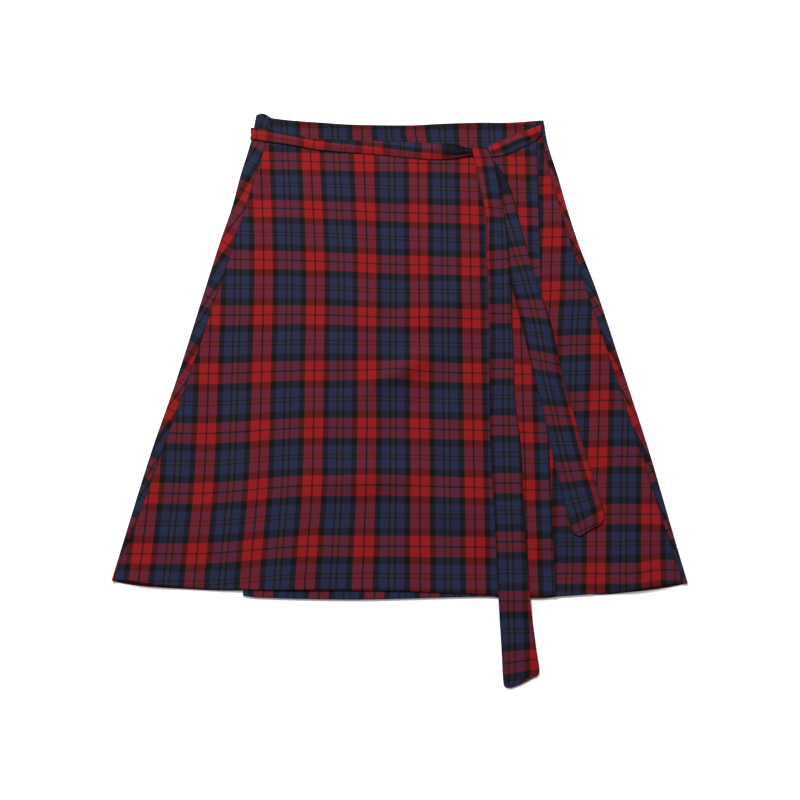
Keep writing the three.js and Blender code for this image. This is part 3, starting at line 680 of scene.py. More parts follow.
def row_y(row, hem_y, waist_y, radius):
    if row["side"] == "middle":
        place = row["place"]
        return lerp(hem_y + place["hem_zone"], waist_y - place["waist_zone"], place["share"])
    place = row["place"] * (radius if row["part"] == "fold" else 1.0)
    if row["part"] != "fold":
        place = max(place, radius)
    return hem_y + place if row["side"] == "hem" else waist_y - place


def front_panel(left, right, hem, waist, height, grain, rows, columns, half):
    """A front panel as a sheet, with its hem and waist turned in."""
    sheet = Sheet()
    grid = []
    for row in rows:
        numbers = []
        for column in columns:
            plain = column["plain"]
            doubled = plain + 2 * half if column.get("turned") else half + 2 * plain
            x = y = 0.0
            for _ in range(SETTLE_ROUNDS):
                y = row_y(row, hem(x), waist(x), doubled)
                x = lerp(left(y), right(y), column["share"]) + column["offset"]
            if row["part"] == "face":
                z = lerp(plain, doubled, row["level"])
            else:
                z = doubled * row["level"]
            pressed = max(column["pressed"], line_painted_shade(row))
            numbers.append(sheet.add((x, y, height(x, y) + column["drop"] + z), grain(x, y), pressed))
        grid.append(numbers)
    sheet.join(grid)
    return sheet


def back_columns(count):
    """Columns of the back panel round its section, from its left seam to its right one.

    outer is 1 where its outer side faces up, on the side strips, and 0 where it lies on the table.
    """
    def column(part, share, offset=0.0, drop=0.0, pressed=0.0, outer=1.0):
        return dict(part=part, share=share, offset=offset, drop=drop, pressed=pressed, outer=outer)

    def seam(part, share, line):
        return column(part, share, -line["offset"], line["drop"], line["pressed"])

    def bend(share):
        return math.sin(math.pi * share)

    columns = [seam("left_strip", 0.0, line) for line in seam_lines(1)]
    columns += [column("left_strip", share, -SEAM_ROLL_WIDTH * (1 - share)) for share in steps(0, 1, 6)[1:]]
    # Painted shade round each side fold, darkest halfway round it
    columns += [column("left_fold", share, pressed=bend(share), outer=1 - smoothstep(share, 0, 1))
                for share in steps(0, 1, 12)[1:]]
    columns += [column("table", share, outer=0.0) for share in steps(0, 1, count)[1:]]
    columns += [column("right_fold", share, pressed=bend(share), outer=smoothstep(share, 0, 1))
                for share in steps(0, 1, 10)[1:]]
    columns += [column("right_strip", share, SEAM_ROLL_WIDTH * share) for share in steps(0, 1, 5)[1:]]
    return columns + [seam("right_strip", 1.0, line) for line in seam_lines(-1)[1:]]


def back_point(column, y):
    """Place x, height z and outward direction (nx, nz) of a back column at a height along the skirt."""
    left_centre = left_fold(y) + LEFT_FOLD_RADIUS
    right_centre = right_fold(y) - RIGHT_FOLD_RADIUS
    part, share = column["part"], column["share"]
    if part == "table":
        return lerp(left_centre, right_centre, share), BACK_LEVEL, 0.0, -1.0
    if part == "left_strip":
        x = lerp(left_strip_end(y) - SEAM_OVERLAP, left_centre, share) + column["offset"]
        return max(x, left_centre), OVERWRAP_LEVEL + column["drop"], 0.0, 1.0
    if part == "right_strip":
        x = lerp(right_centre, right_strip_end(y) + SEAM_OVERLAP, share) + column["offset"]
        return min(x, right_centre), UNDERWRAP_LEVEL + column["drop"], 0.0, 1.0
    if part == "left_fold":
        centre, radius, turn = left_centre, LEFT_FOLD_RADIUS, math.pi * (share + 0.5)
    else:
        centre, radius, turn = right_centre, RIGHT_FOLD_RADIUS, math.pi * (share - 0.5)
    cos, sin = math.cos(turn), math.sin(turn)
    return centre + radius * cos, BACK_LEVEL + radius + radius * sin, cos, sin


def back_cloth(column, x, y):
    """Cloth coordinates of a place on the back panel, unfolded flat."""
    part, share = column["part"], column["share"]
    if part == "table":
        return back_grain(x, y)
    if part.startswith("left"):
        fold_x, lean, inner = left_fold(y), SIDE_LEAN, left_fold(y) + LEFT_FOLD_RADIUS
    else:
        fold_x, lean, inner = right_fold(y), -SIDE_LEAN, right_fold(y) - RIGHT_FOLD_RADIUS
    if part.endswith("strip"):
        return back_grain(*unfolded(x, y, fold_x, lean))
    outer_x, outer_y = unfolded(inner, y, fold_x, lean)
    if part == "left_fold":
        return back_grain(lerp(outer_x, inner, share), lerp(outer_y, y, share))
    return back_grain(lerp(inner, outer_x, share), lerp(y, outer_y, share))


def back_panel(rows, columns, half):
    sheet = Sheet()
    grid = []
    for row in rows:
        numbers = []
        for column in columns:
            x = y = z = nx = nz = 0.0
            for _ in range(SETTLE_ROUNDS):
                y = row_y(row, back_hem(x), back_waist(x), half)
                x, z, nx, nz = back_point(column, y)
            if row["part"] == "face":
                out = column["outer"] * half * row["level"]
            else:
                out = half * (row["level"] - 1 + column["outer"])
            pressed = max(column["pressed"], line_painted_shade(row))
            point = (x + nx * out, y, z + nz * out)
            numbers.append(sheet.add(point, back_cloth(column, x, y), pressed))
        grid.append(numbers)

    def in_slit(i, j):
        if columns[j]["part"] != "left_fold" or rows[i]["part"] != "face":
            return False
        y = (sheet.points[grid[i][j]][1] + sheet.points[grid[i + 1][j]][1]) / 2
        return SLIT["bottom"] < y < SLIT["top"] and SLIT["start"] < columns[j]["share"] < SLIT["end"]

    sheet.join(grid, skip=in_slit)
    return sheet


def resting_height(x, y, half):
    """Height of what a tie rests on: the overwrap, past its edge the next layer, then the table."""
    past_turned_hem = smoothstep(y - overwrap_hem(x), TURNED_HEM_SLOPE["start"], TURNED_HEM_SLOPE["end"])
    past_edge = smoothstep(x - overwrap_edge(y), EDGE_SLOPE["start"], EDGE_SLOPE["end"])
    past_hem = smoothstep(overwrap_hem(x) - y, HEM_SLOPE["start"], HEM_SLOPE["end"])
    on_overwrap = overwrap_height(x, y) + half + TIE_ROOM
    on_underwrap = underwrap_height(x, y) + half + TIE_ROOM
    on_cloth = lerp(on_overwrap, on_underwrap, past_edge) + half * (1 - past_turned_hem)
    return lerp(on_cloth, TABLE_ROOM, past_hem)


def over_short_end(x, y):
    """Height that the long end gains where the short end lies under it."""
    left = short_end_left(y)
    top = TIE_THICK + short_end_ridge(y) + short_end_lift(y)
    beside = smoothstep(x, left - CROSSING_SLOPE["start"], left - CROSSING_SLOPE["end"])
    return beside * (top + CROSSING_ROOM)


def fold_profile(share, fold):
    if share < fold:
        return smoothstep(share, 0, fold)
    return smoothstep(1 - share, 0, 1 - fold)


def band_ring(count):
    """Places round a flat tube: share of the width, distance inside an edge in edge radii, level."""
    ring = []
    for share in steps(0, 1, EDGE_STEPS):
        turn = math.pi * (share - 0.5)
        ring.append(dict(share=0.0, inside=1 - math.cos(turn), level=math.sin(turn)))
    ring += [dict(share=share, inside=0.0, level=1.0) for share in steps(0, 1, count)[1:-1]]
    for share in steps(0, 1, EDGE_STEPS):
        turn = math.pi * (0.5 - share)
        ring.append(dict(share=1.0, inside=math.cos(turn) - 1, level=math.sin(turn)))
    ring += [dict(share=share, inside=0.0, level=-1.0) for share in steps(1, 0, count)[1:-1]]
    return ring


def flat_stations(rows, under, steps_a_row):
    """Places along a tie that lies on something, from its table."""
    stations = []
    for i in range((len(rows) - 1) * steps_a_row + 1):
        place = i / steps_a_row
        stations.append(dict(row_at(rows, place), under=under, normal=UP, reach=0.0, place=place))
    return stations


def level_station(row, height, normal, reach=0.0):
    """A place along a tie at one height. It is reach away from there along its normal."""
    return dict(row, under=lambda x, y, lift: height, normal=normal, reach=reach, place=0.0)


def turn_stations(row, centre_z, radius, axis, angles):
    """Places along a tie that turns round a fold or another tie; axis is 0 or 1 for X or Y."""
    stations = []
    for angle in angles:
        normal = [0.0, 0.0, math.sin(angle)]
        normal[axis] = math.cos(angle)
        stations.append(level_station(row, centre_z, tuple(normal), radius))
    return stations


def crease_height(crease, share, place):
    """A soft lengthwise crease of a tie; start and end are places along it, in rows of its table."""
    if not crease["start"] < place < crease["end"]:
        return 0.0
    run = (place - crease["start"]) / (crease["end"] - crease["start"])
    away = (share - lerp(crease["from_share"], crease["to_share"], run)) / crease["width"]
    return crease["height"] * math.sin(math.pi * run) * math.exp(-away * away)


def tightness(tight, share, place):
    """Painted shade on a tie beside the knot, in place of its shadow: full at the place full, fading to none
    where it ends.
    """
    if tight is None:
        return 0.0
    shadow_share = smoothstep((tight["unshaded"] - place) / (tight["unshaded"] - tight["full"]), 0, 1)
    return tight["depth"] * (KNOT_SHADOW_REACH - share) * shadow_share


def tie_band(stations, wall, stripes, along_start, count=20, creases=(), tight=None, tip=False):
    """A tie, sewn as a flat tube, as a sheet. stripes give the cloth coordinate at its two edges."""
    sheet = Sheet()
    grid = []
    ring = band_ring(count)
    across_a = curve_through(stripes, "place", "a")
    across_b = curve_through(stripes, "place", "b")
    pace = curve_through(stripes, "place", "pace")
    along = along_start
    previous = None
    for station in stations:
        ax, ay, bx, by = (station[name] for name in ("ax", "ay", "bx", "by"))
        width = math.hypot(bx - ax, by - ay)
        radius = (station["thick"] - wall) / 2
        inside = radius / width
        nx, ny, nz = station["normal"]
        middle = ((ax + bx) / 2 + nx * station["reach"], (ay + by) / 2 + ny * station["reach"],
                  station["under"]((ax + bx) / 2, (ay + by) / 2, station["lift"]) + nz * station["reach"])
        if previous is not None:
            along += math.dist(middle, previous) * pace(station["place"])
        previous = middle
        cross_a, cross_b = across_a(station["place"]), across_b(station["place"])
        numbers = []
        for mark in ring:
            if mark["inside"] == 0.0 and 0 < mark["share"] < 1:
                share = lerp(inside, 1 - inside, mark["share"])
            else:
                share = mark["share"] + mark["inside"] * inside
            x, y = lerp(ax, bx, share), lerp(ay, by, share)
            out = station["reach"] + wall / 2 + radius * (1 + mark["level"])
            if mark["level"] > 0:
                top = station["ridge"] * fold_profile(share, station["fold"])
                top += sum(crease_height(crease, share, station["place"]) for crease in creases)
                out += top * mark["level"]
            out -= station.get("notch", 0.0) * math.exp(-((share - NOTCH["share"]) / NOTCH["width"]) ** 2)
            z = station["under"](x, y, station["lift"]) + nz * out
            if mark["level"] >= 0 or mark["share"] in (0.0, 1.0):
                cross = lerp(cross_a, cross_b, share)
            else:
                cross = cross_b + (cross_b - cross_a) * (1 - share)
            # Painted shade: a dark outline along the tie's edges, and the knot's shadow on the ties beside
            # it
            at_edge = TIE_EDGE_PAINTED_SHADE if mark["share"] in (0.0, 1.0) else 0.0
            pressed = max(at_edge, tightness(tight, share, station["place"]))
            numbers.append(sheet.add((x + nx * out, y + ny * out, z), (cross, along), pressed))
        grid.append(numbers)
    sheet.join(grid, closed=True)
    if tip:
        close_tip(sheet, grid[-1])
    return sheet


def close_tip(sheet, last):
    """Joins the top and the underside of a tube's last row, as a flat seam."""
    size = len(last)
    for k in range(size // 2):
        near, far = last[(EDGE_STEPS // 2 + k) % size], last[(EDGE_STEPS // 2 + k + 1) % size]
        below, beyond = last[(EDGE_STEPS // 2 - k) % size], last[(EDGE_STEPS // 2 - k - 1) % size]
        sheet.faces.append((near, far, beyond, below))


class Field:
    """A node socket that Python's operators turn into Math nodes."""

    def __init__(self, tree, socket=None):
        self.tree = tree
        self.socket = socket

    def node(self, kind, settings, values, output=0):
        """A new node: its settings, then the values or links of its sockets."""
        made = self.tree.nodes.new(kind)
        for name, value in settings.items():
            if name == "stops":
                ramp = made.color_ramp
                while len(ramp.elements) < len(value):
                    ramp.elements.new(1.0)
                for element, (position, colour) in zip(ramp.elements, value):
                    element.position = position
                    element.color = (*colour, 1.0)
            else:
                setattr(made, name, value)
        for name, value in values.items():
            socket = made.inputs[name]
            if isinstance(value, Field):
                self.tree.links.new(value.socket, socket)
            else:
                socket.default_value = value
        return Field(self.tree, made.outputs[output])

    def maths(self, operation, *values):
        return self.node("ShaderNodeMath", {"operation": operation}, dict(enumerate(values)))

    def __add__(self, other):
        return self.maths("ADD", self, other)

    __radd__ = __add__

    def __sub__(self, other):
        return self.maths("SUBTRACT", self, other)

    def __rsub__(self, other):
        return self.maths("SUBTRACT", other, self)

    def __mul__(self, other):
        return self.maths("MULTIPLY", self, other)

    __rmul__ = __mul__

    def __truediv__(self, other):
        return self.maths("DIVIDE", self, other)

    def __rtruediv__(self, other):
        return self.maths("DIVIDE", other, self)

    def __mod__(self, other):
        return self.maths("FLOORED_MODULO", self, other)

    def __lt__(self, other):
        return self.maths("LESS_THAN", self, other)

    def __abs__(self):
        return self.maths("ABSOLUTE", self)

    def floor(self):
        return self.maths("FLOOR", self)

    def sine(self):
        return self.maths("SINE", self)

    def blend(self, first, second):
        """A colour between two others, by this factor."""
        return self.node("ShaderNodeMix", {"data_type": "RGBA"}, {0: self, 6: first, 7: second}, 2)

    def ramp(self, stops):
        return self.node("ShaderNodeValToRGB", {"stops": stops}, {0: self})

    def shade(self, colour):
        """A colour made darker or lighter by this tone."""
        grey = self.node("ShaderNodeCombineColor", {}, {0: self, 1: self, 2: self})
        settings = {"data_type": "RGBA", "blend_type": "MULTIPLY"}
        return self.node("ShaderNodeMix", settings, {0: 1.0, 6: colour, 7: grey}, 2)

    def bump(self, strength, distance):
        """A normal that stands up by this height."""
        values = {"Strength": strength, "Distance": distance, "Height": self}
        return self.node("ShaderNodeBump", {}, values)

    def noise(self, vector, scale, detail=2.0):
        """Smooth noise from 0 to 1 at a place."""
        values = {"Vector": vector, "Scale": scale, "Detail": detail}
        return self.node("ShaderNodeTexNoise", {"noise_dimensions": "3D"}, values)


# Stripes of half a repeat from the middle of a pair of red ones: where each ends, and its colour.
# The two edges of a red stripe are softer than the others.
HALF_SETT = 32.6
WARP_STRIPES = table("end colour", (1.0, "black"), (11.6, "red"), (18.2, "black"), (28.0, "navy"),
                     (30.2, "black"), (HALF_SETT, "between"))
WEFT_STRIPES = table("end colour", (0.9, "black"), (11.3, "red"), (19.6, "black"), (29.7, "navy"),
                     (31.2, "black"), (HALF_SETT, "between"))
LINE_BLUR = 0.35
RED_BLUR = 0.7

# Yarns that a float of this twill passes, and how the cloth varies by small patches and by fibres
TWILL_REPEAT = 4.0
FLOAT_YARNS = 1.5
BASE_TONE = 0.955
MOTTLE = 0.09
FIBRE_TONE = 0.16
FIBRE_RELIEF = 0.5


def stripe_stops(look, stripes):
    """Colour of a yarn by its distance from the middle of a pair of red stripes."""
    stops = []
    start = blur = 0.0
    for number, stripe in enumerate(stripes):
        colour, end = tuple(getattr(look, stripe["colour"])), stripe["end"]
        next_blur = RED_BLUR if number in (1, 2) else LINE_BLUR
        stops.append(((start + blur) / HALF_SETT, colour))
        stops.append(((end - next_blur) / HALF_SETT if end < HALF_SETT else 1.0, colour))
        start, blur = end, next_blur
    return stops


def stripe_colour(look, place, stripes):
    """Colour of a yarn by its place across a repeat."""
    from_middle = abs((place / (HALF_SETT * 2) + 0.5) % 1.0 - 0.5) * 2
    return from_middle.ramp(stripe_stops(look, stripes))


def new_material(name):
    """A material, its shader and a field to start its maths from."""
    material = bpy.data.materials.new(name)
    material.use_nodes = True
    return material, material.node_tree.nodes["Principled BSDF"], Field(material.node_tree)


def finish_material(shader, varying, settings):
    """Links what varies over the surface to the shader and sets its other sockets."""
    for name, field in varying.items():
        field.tree.links.new(field.socket, shader.inputs[name])
    for name, value in settings.items():
        shader.inputs[name].default_value = value


def tartan_material(name, look):
    """Twill in red, navy and black checks, from a piece's cloth coordinates."""
    material, shader, start = new_material(name)
    cloth = start.node("ShaderNodeUVMap", {"uv_map": CLOTH_UV}, {})
    across = start.node("ShaderNodeSeparateXYZ", {}, {0: cloth}, 0) / MM
    along = start.node("ShaderNodeSeparateXYZ", {}, {0: cloth}, 1) / MM
    thread, wander = look.thread / MM, look.wander / MM

    broad = (start.noise(cloth, 14.0) - 0.5) * wander
    fine = (start.noise(cloth, 60.0) - 0.5) * wander * 0.4
    stretch = HALF_SETT * 2 / (look.sett_along / MM)
    warp = stripe_colour(look, across + broad + fine, WARP_STRIPES)
    weft = stripe_colour(look, (along + fine - broad) * stretch, WEFT_STRIPES)
    yarn = (across / thread).floor() + (along / thread).floor()
    warp_over = (yarn % TWILL_REPEAT) < FLOAT_YARNS
    woven = (look.warp_share + (warp_over - 0.5) * look.twill).blend(weft, warp)

    mottle = start.noise(start.node("ShaderNodeTexCoord", {}, {}, 3), 22.0, 3.0)
    fibre = start.noise(cloth, 2600.0)
    pressed = start.node("ShaderNodeAttribute", {"attribute_name": PAINTED_SHADE}, {}, 2)
    # Painted shade: the point attribute darkens the cloth at turned edges, side folds, seam rolls and tie
    # edges, and beside the knot in place of its shadow
    tone = BASE_TONE + mottle * MOTTLE + (fibre - 0.5) * FIBRE_TONE - pressed * look.edge_shade
    colour = start.node("ShaderNodeGamma", {}, {0: tone.shade(woven), 1: 2.2})

    warp_round = abs((across / thread * math.pi).sine())
    weft_round = abs((along / thread * math.pi).sine())
    relief = warp_over * warp_round + (1 - warp_over) * weft_round + fibre * FIBRE_RELIEF
    roughness = 0.8 + (fibre - 0.5) * 0.2 + (1 - warp_over) * 0.05
    varying = {"Base Color": colour, "Roughness": roughness, "Normal": relief.bump(0.55, 0.00012)}
    finish_material(shader, varying, {
        "Sheen Weight": look.sheen, "Sheen Roughness": 0.45, "Sheen Tint": (0.9, 0.86, 0.88, 1.0),
        "Specular IOR Level": 0.05})
    return material


def thread_material(name, look):
    """Sewing thread: two twisted plies with fine fibres."""
    material, shader, start = new_material(name)
    position = start.node("ShaderNodeTexCoord", {}, {}, 3)
    twist = start.node(
        "ShaderNodeTexWave", {"wave_type": "BANDS", "bands_direction": "DIAGONAL"},
        {"Vector": position, "Scale": 1400.0, "Distortion": 1.0}, 1)
    fibre = start.noise(position, 4000.0)
    tone = 0.75 + twist * 0.3 + (fibre - 0.5) * 0.2
    colour = tone.shade((*(channel ** 2.2 for channel in look.thread_colour), 1.0))
    varying = {"Base Color": colour, "Roughness": 0.55 + fibre * 0.2, "Normal": twist.bump(0.5, 0.0001)}
    finish_material(shader, varying, {"Specular IOR Level": 0.15})
    return material


def material_once(name, make, look):
    return bpy.data.materials.get(name) or make(name, look)


# Sections along one stitch: place in its length, and size and rise in radii of the thread
STITCH_RINGS = table("place size rise", (-0.5, 0.15, -0.6), (-0.32, 0.8, 0.1), (0.0, 1.0, 0.45),
                     (0.32, 0.8, 0.1), (0.5, 0.15, -0.6))
STITCH_SIDES = 6
STITCH_FLATNESS = 0.8
STITCH_AIM = 0.4
STITCH_STANDOFF = 0.2
HEM_STITCH_INSET = 1.0
WAIST_STITCH_OFFSET = -4.0


def point_along(line, distance):
    """The place at a distance along a line in plan."""
    k, before, length = 0, 0.0, math.dist(line[0], line[1])
    while k < len(line) - 2 and before + length < distance:
        k, before = k + 1, before + length
        length = math.dist(line[k], line[k + 1])
    share = (distance - before) / max(length, 1e-9)
    return tuple(lerp(line[k][n], line[k + 1][n], share) for n in (0, 1))


def stitch_row(line, surface, stitch):
    """Points and faces of stitches along a line in plan; surface gives the height under a place."""
    points, faces = [], []
    length, radius = stitch.length / MM, stitch.thickness / MM / 2
    pitch = length + stitch.gap / MM
    count = int(sum(math.dist(a, b) for a, b in zip(line, line[1:])) / pitch)
    for number in range(count):
        middle = (number + 0.5) * pitch
        ahead = point_along(line, middle + length * STITCH_AIM)
        behind = point_along(line, middle - length * STITCH_AIM)
        dx, dy = ahead[0] - behind[0], ahead[1] - behind[1]
        long = math.hypot(dx, dy)
        side_x, side_y = -dy / long, dx / long
        rings = []
        for row in STITCH_RINGS:
            x, y = point_along(line, middle + row["place"] * length)
            z = surface(x, y) + row["rise"] * radius
            size = radius * row["size"]
            ring = []
            for side in range(STITCH_SIDES):
                turn = 2 * math.pi * side / STITCH_SIDES
                cos, sin = math.cos(turn) * size, math.sin(turn) * size * STITCH_FLATNESS
                ring.append(len(points))
                points.append((x + side_x * cos, y + side_y * cos, z + sin))
            rings.append(ring)
        for first, second in zip(rings, rings[1:]):
            for side in range(STITCH_SIDES):
                after = (side + 1) % STITCH_SIDES
                faces.append((first[side], first[after], second[after], second[side]))
        faces += [tuple(rings[0][::-1]), tuple(rings[-1])]
    return points, faces


def stitches_piece(name, line, surface, stitch, material):
    points, faces = stitch_row(line, surface, stitch)
    piece = mesh_piece(name, points, faces, material)
    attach(piece, BODY)
    return piece


class WRAPSKIRT_PG_cloth(bpy.types.PropertyGroup):
    """Sizes of the cloth and of its turned edges."""

    thickness: bpy.props.FloatProperty(
        name="Cloth thickness", description="One layer of twill", default=0.00055, unit="LENGTH")
    tie_wall: bpy.props.FloatProperty(
        name="Tie cloth", description="One layer of a tie's cloth", default=0.00045, unit="LENGTH")
    hem: bpy.props.FloatProperty(
        name="Hem", description="Depth of the turned hem", default=0.022, unit="LENGTH")
    waist: bpy.props.FloatProperty(
        name="Waist turn", description="Depth of the turned waist edge", default=0.012, unit="LENGTH")
    edge: bpy.props.FloatProperty(
        name="Front edge", description="Depth of the turned free edges", default=0.010, unit="LENGTH")
    step: bpy.props.FloatProperty(
        name="Mesh step", description="Distance between a panel's points", default=0.0038, unit="LENGTH")


class WRAPSKIRT_PG_tartan(bpy.types.PropertyGroup):
    """Colours and sizes of the woven checks. Colours are as a screen shows them."""

    red: bpy.props.FloatVectorProperty(
        name="Red", description="Red yarn", subtype="COLOR_GAMMA", min=0, max=1,
        default=(0.466, 0.101, 0.110))
    navy: bpy.props.FloatVectorProperty(
        name="Navy", description="Navy yarn", subtype="COLOR_GAMMA", min=0, max=1,
        default=(0.134, 0.151, 0.232))
    black: bpy.props.FloatVectorProperty(
        name="Black", description="Black yarn", subtype="COLOR_GAMMA", min=0, max=1,
        default=(0.090, 0.076, 0.079))
    between: bpy.props.FloatVectorProperty(
        name="Between the lines", description="Yarn between the two thin lines", subtype="COLOR_GAMMA",
        min=0, max=1, default=(0.156, 0.156, 0.204))
    thread_colour: bpy.props.FloatVectorProperty(
        name="Sewing thread", description="Colour of the stitches", subtype="COLOR_GAMMA",
        min=0, max=1, default=(0.075, 0.07, 0.10))
    sett_along: bpy.props.FloatProperty(
        name="Repeat along", description="One repeat of the checks along the warp", default=0.0728,
        unit="LENGTH")
    thread: bpy.props.FloatProperty(
        name="Yarn", description="Distance between two yarns", default=0.0005, unit="LENGTH")
    warp_share: bpy.props.FloatProperty(
        name="Warp share", description="How much of the warp's colour shows", default=0.57, subtype="FACTOR")
    twill: bpy.props.FloatProperty(
        name="Twill contrast", description="How clearly warp and weft floats differ", default=0.34,
        subtype="FACTOR")
    wander: bpy.props.FloatProperty(
        name="Wander", description="How far the lines stray", default=0.0013, unit="LENGTH")
    # Strength of the painted shade
    edge_shade: bpy.props.FloatProperty(
        name="Edge shade", description="How much darker pressed cloth is", default=0.26, subtype="FACTOR")
    sheen: bpy.props.FloatProperty(
        name="Sheen", description="Soft sheen of the brushed face", default=0.03, subtype="FACTOR")


class WRAPSKIRT_PG_stitch(bpy.types.PropertyGroup):
    """Sizes of the visible stitches."""

    length: bpy.props.FloatProperty(
        name="Length", description="Length of one stitch", default=0.0024, unit="LENGTH")
    gap: bpy.props.FloatProperty(
        name="Gap", description="Space between two stitches", default=0.0006, unit="LENGTH")
    thickness: bpy.props.FloatProperty(
        name="Thickness", description="Width of the thread", default=0.00036, unit="LENGTH")


class WRAPSKIRT_PG_stage(bpy.types.PropertyGroup):
    """Floor, lights and camera."""

    floor: bpy.props.FloatVectorProperty(
        name="Floor", description="Colour of the floor", subtype="COLOR", min=0, max=1,
        default=(0.93, 0.93, 0.93))
    sky: bpy.props.FloatProperty(
        name="Soft light", description="Strength of the all-round light", default=0.50)
    key: bpy.props.FloatProperty(
        name="Window light", description="Power of the light at the waist side", default=150.0, unit="POWER")
    lens: bpy.props.FloatProperty(
        name="Lens", description="Focal length in millimetres", default=56.25)
    height: bpy.props.FloatProperty(
        name="Camera height", description="Above the table", default=1.4755, unit="LENGTH")
    tilt: bpy.props.FloatProperty(
        name="Camera tilt", description="Off straight down", default=math.radians(16), subtype="ANGLE")


GROUPS = {
    "wrap_skirt_cloth": WRAPSKIRT_PG_cloth,
    "wrap_skirt_tartan": WRAPSKIRT_PG_tartan,
    "wrap_skirt_stitch": WRAPSKIRT_PG_stitch,
    "wrap_skirt_stage": WRAPSKIRT_PG_stage,
}


def panel_rows(cloth):
    return row_line(cloth.hem / MM, cloth.waist / MM, point_count(cloth, PANEL_LENGTH))


def point_count(cloth, length):
    return round(length / (cloth.step / MM))


def cloth_sizes(context):
    """The cloth's settings, half of one layer with its room, and the twill's material."""
    scene = context.scene
    cloth = scene.wrap_skirt_cloth
    twill = material_once("tartan_twill", tartan_material, scene.wrap_skirt_tartan)
    return cloth, cloth.thickness / MM / 2 + LAYER_ROOM, twill


def front_piece(name, node, cloth, half, material, columns, **shape):
    """A front panel from its columns and its edges, height and grain."""
    sheet = front_panel(rows=panel_rows(cloth), columns=columns, half=half, **shape)
    return cloth_piece(name, sheet, cloth.thickness / MM, material, node)


class WRAPSKIRT_OT_back_panel(bpy.types.Operator):
    """Makes the back panel, folded round both sides, with its turned hem and waist"""

    bl_idname = "wrapskirt.back_panel"
    bl_label = "Back Panel"

    def execute(self, context):
        cloth, half, twill = cloth_sizes(context)
        sheet = back_panel(panel_rows(cloth), back_columns(point_count(cloth, BACK_WIDTH)), half)
        piece = cloth_piece("back_panel_cloth", sheet, cloth.thickness / MM, twill, "back_panel")
        return {"FINISHED"}


class WRAPSKIRT_OT_underwrap(bpy.types.Operator):
    """Makes the underwrap, the right front that runs under the other one"""

    bl_idname = "wrapskirt.underwrap"
    bl_label = "Underwrap"

    def execute(self, context):
        cloth, half, twill = cloth_sizes(context)
        edge = turned_columns(cloth.edge / MM, half, 1)
        columns = column_line(edge, seam_lines(-1), point_count(cloth, FRONT_WIDTH))
        piece = front_piece("underwrap_cloth", "underwrap_panel", cloth, half, twill, columns,
                            left=underwrap_edge, right=lambda y: right_strip_end(y) - SEAM_OVERLAP,
                            hem=underwrap_hem, waist=underwrap_waist,
                            height=underwrap_height, grain=underwrap_grain)
        return {"FINISHED"}


class WRAPSKIRT_OT_overwrap(bpy.types.Operator):
    """Makes the overwrap, the left front that lies on top, with its free edge at the right"""

    bl_idname = "wrapskirt.overwrap"
    bl_label = "Overwrap"

    def execute(self, context):
        cloth, half, twill = cloth_sizes(context)
        edge = turned_columns(cloth.edge / MM, half, -1)
        columns = column_line(seam_lines(1), edge, point_count(cloth, FRONT_WIDTH))
        piece = front_piece("overwrap_cloth", "overwrap_panel", cloth, half, twill, columns,
                            left=lambda y: left_strip_end(y) + SEAM_OVERLAP, right=overwrap_edge,
                            hem=overwrap_hem, waist=front_waist,
                            height=overwrap_height, grain=overwrap_grain)
        return {"FINISHED"}


# Stripes of the cloth along the two edges of each tie, by rows of its table. pace is how much cloth
# goes into each millimetre along it.
LEFT_STRIPES = table(
    "place a b pace",
    (0, 14.5, -0.4, 0.95),
    (4, 15.5, 0.0, 0.95),
    (5, 20.5, 2.0, 0.95),
    (6, 23.0, 3.5, 0.95),
    (7, 27.0, 4.0, 0.95),
    (8, 28.0, 7.0, 0.95),
    (10, 26.0, 12.0, 0.95),
)
RIGHT_STRIPES = table(
    "place a b pace",
    (0, 1.0, 17.0, 1.15),
    (1, 1.5, 21.0, 1.15),
    (2, 2.0, 25.0, 1.15),
    (5, 2.0, 22.0, 1.15),
)
SHORT_STRIPES = table(
    "place a b pace",
    (0, 24.0, 46.0, 1.0),
    (2, 21.0, 49.0, 1.0),
    (4, 16.0, 47.0, 1.0),
    (5, 13.0, 46.5, 1.0),
    (6, 13.0, 51.0, 1.03),
    (7, 17.0, 55.5, 1.03),
    (8, 18.5, 58.5, 1.03),
    (9, 19.0, 60.5, 1.03),
    (11, 19.0, 62.0, 1.03),
    (14, 20.0, 62.0, 1.03),
)
LONG_STRIPES = table(
    "place a b pace",
    (0, 2.0, 26.0, 1.03),
    (2, 5.0, 31.0, 1.03),
    (3, 6.3, 33.0, 1.03),
    (4, 8.0, 37.5, 1.03),
    (5, 9.5, 39.5, 1.01),
    (7, 12.8, 43.5, 1.01),
    (8, 13.7, 48.8, 1.01),
    (10, 15.7, 54.0, 1.04),
    (12, 19.0, 58.0, 1.05),
    (14, 22.5, 64.0, 1.05),
    (16, 24.0, 66.0, 1.05),
)
KNOT_STRIPES = table(
    "place a b pace",
    (0, 2.0, 26.0, 1.0),
    (1, 2.0, 26.0, 1.0),
)


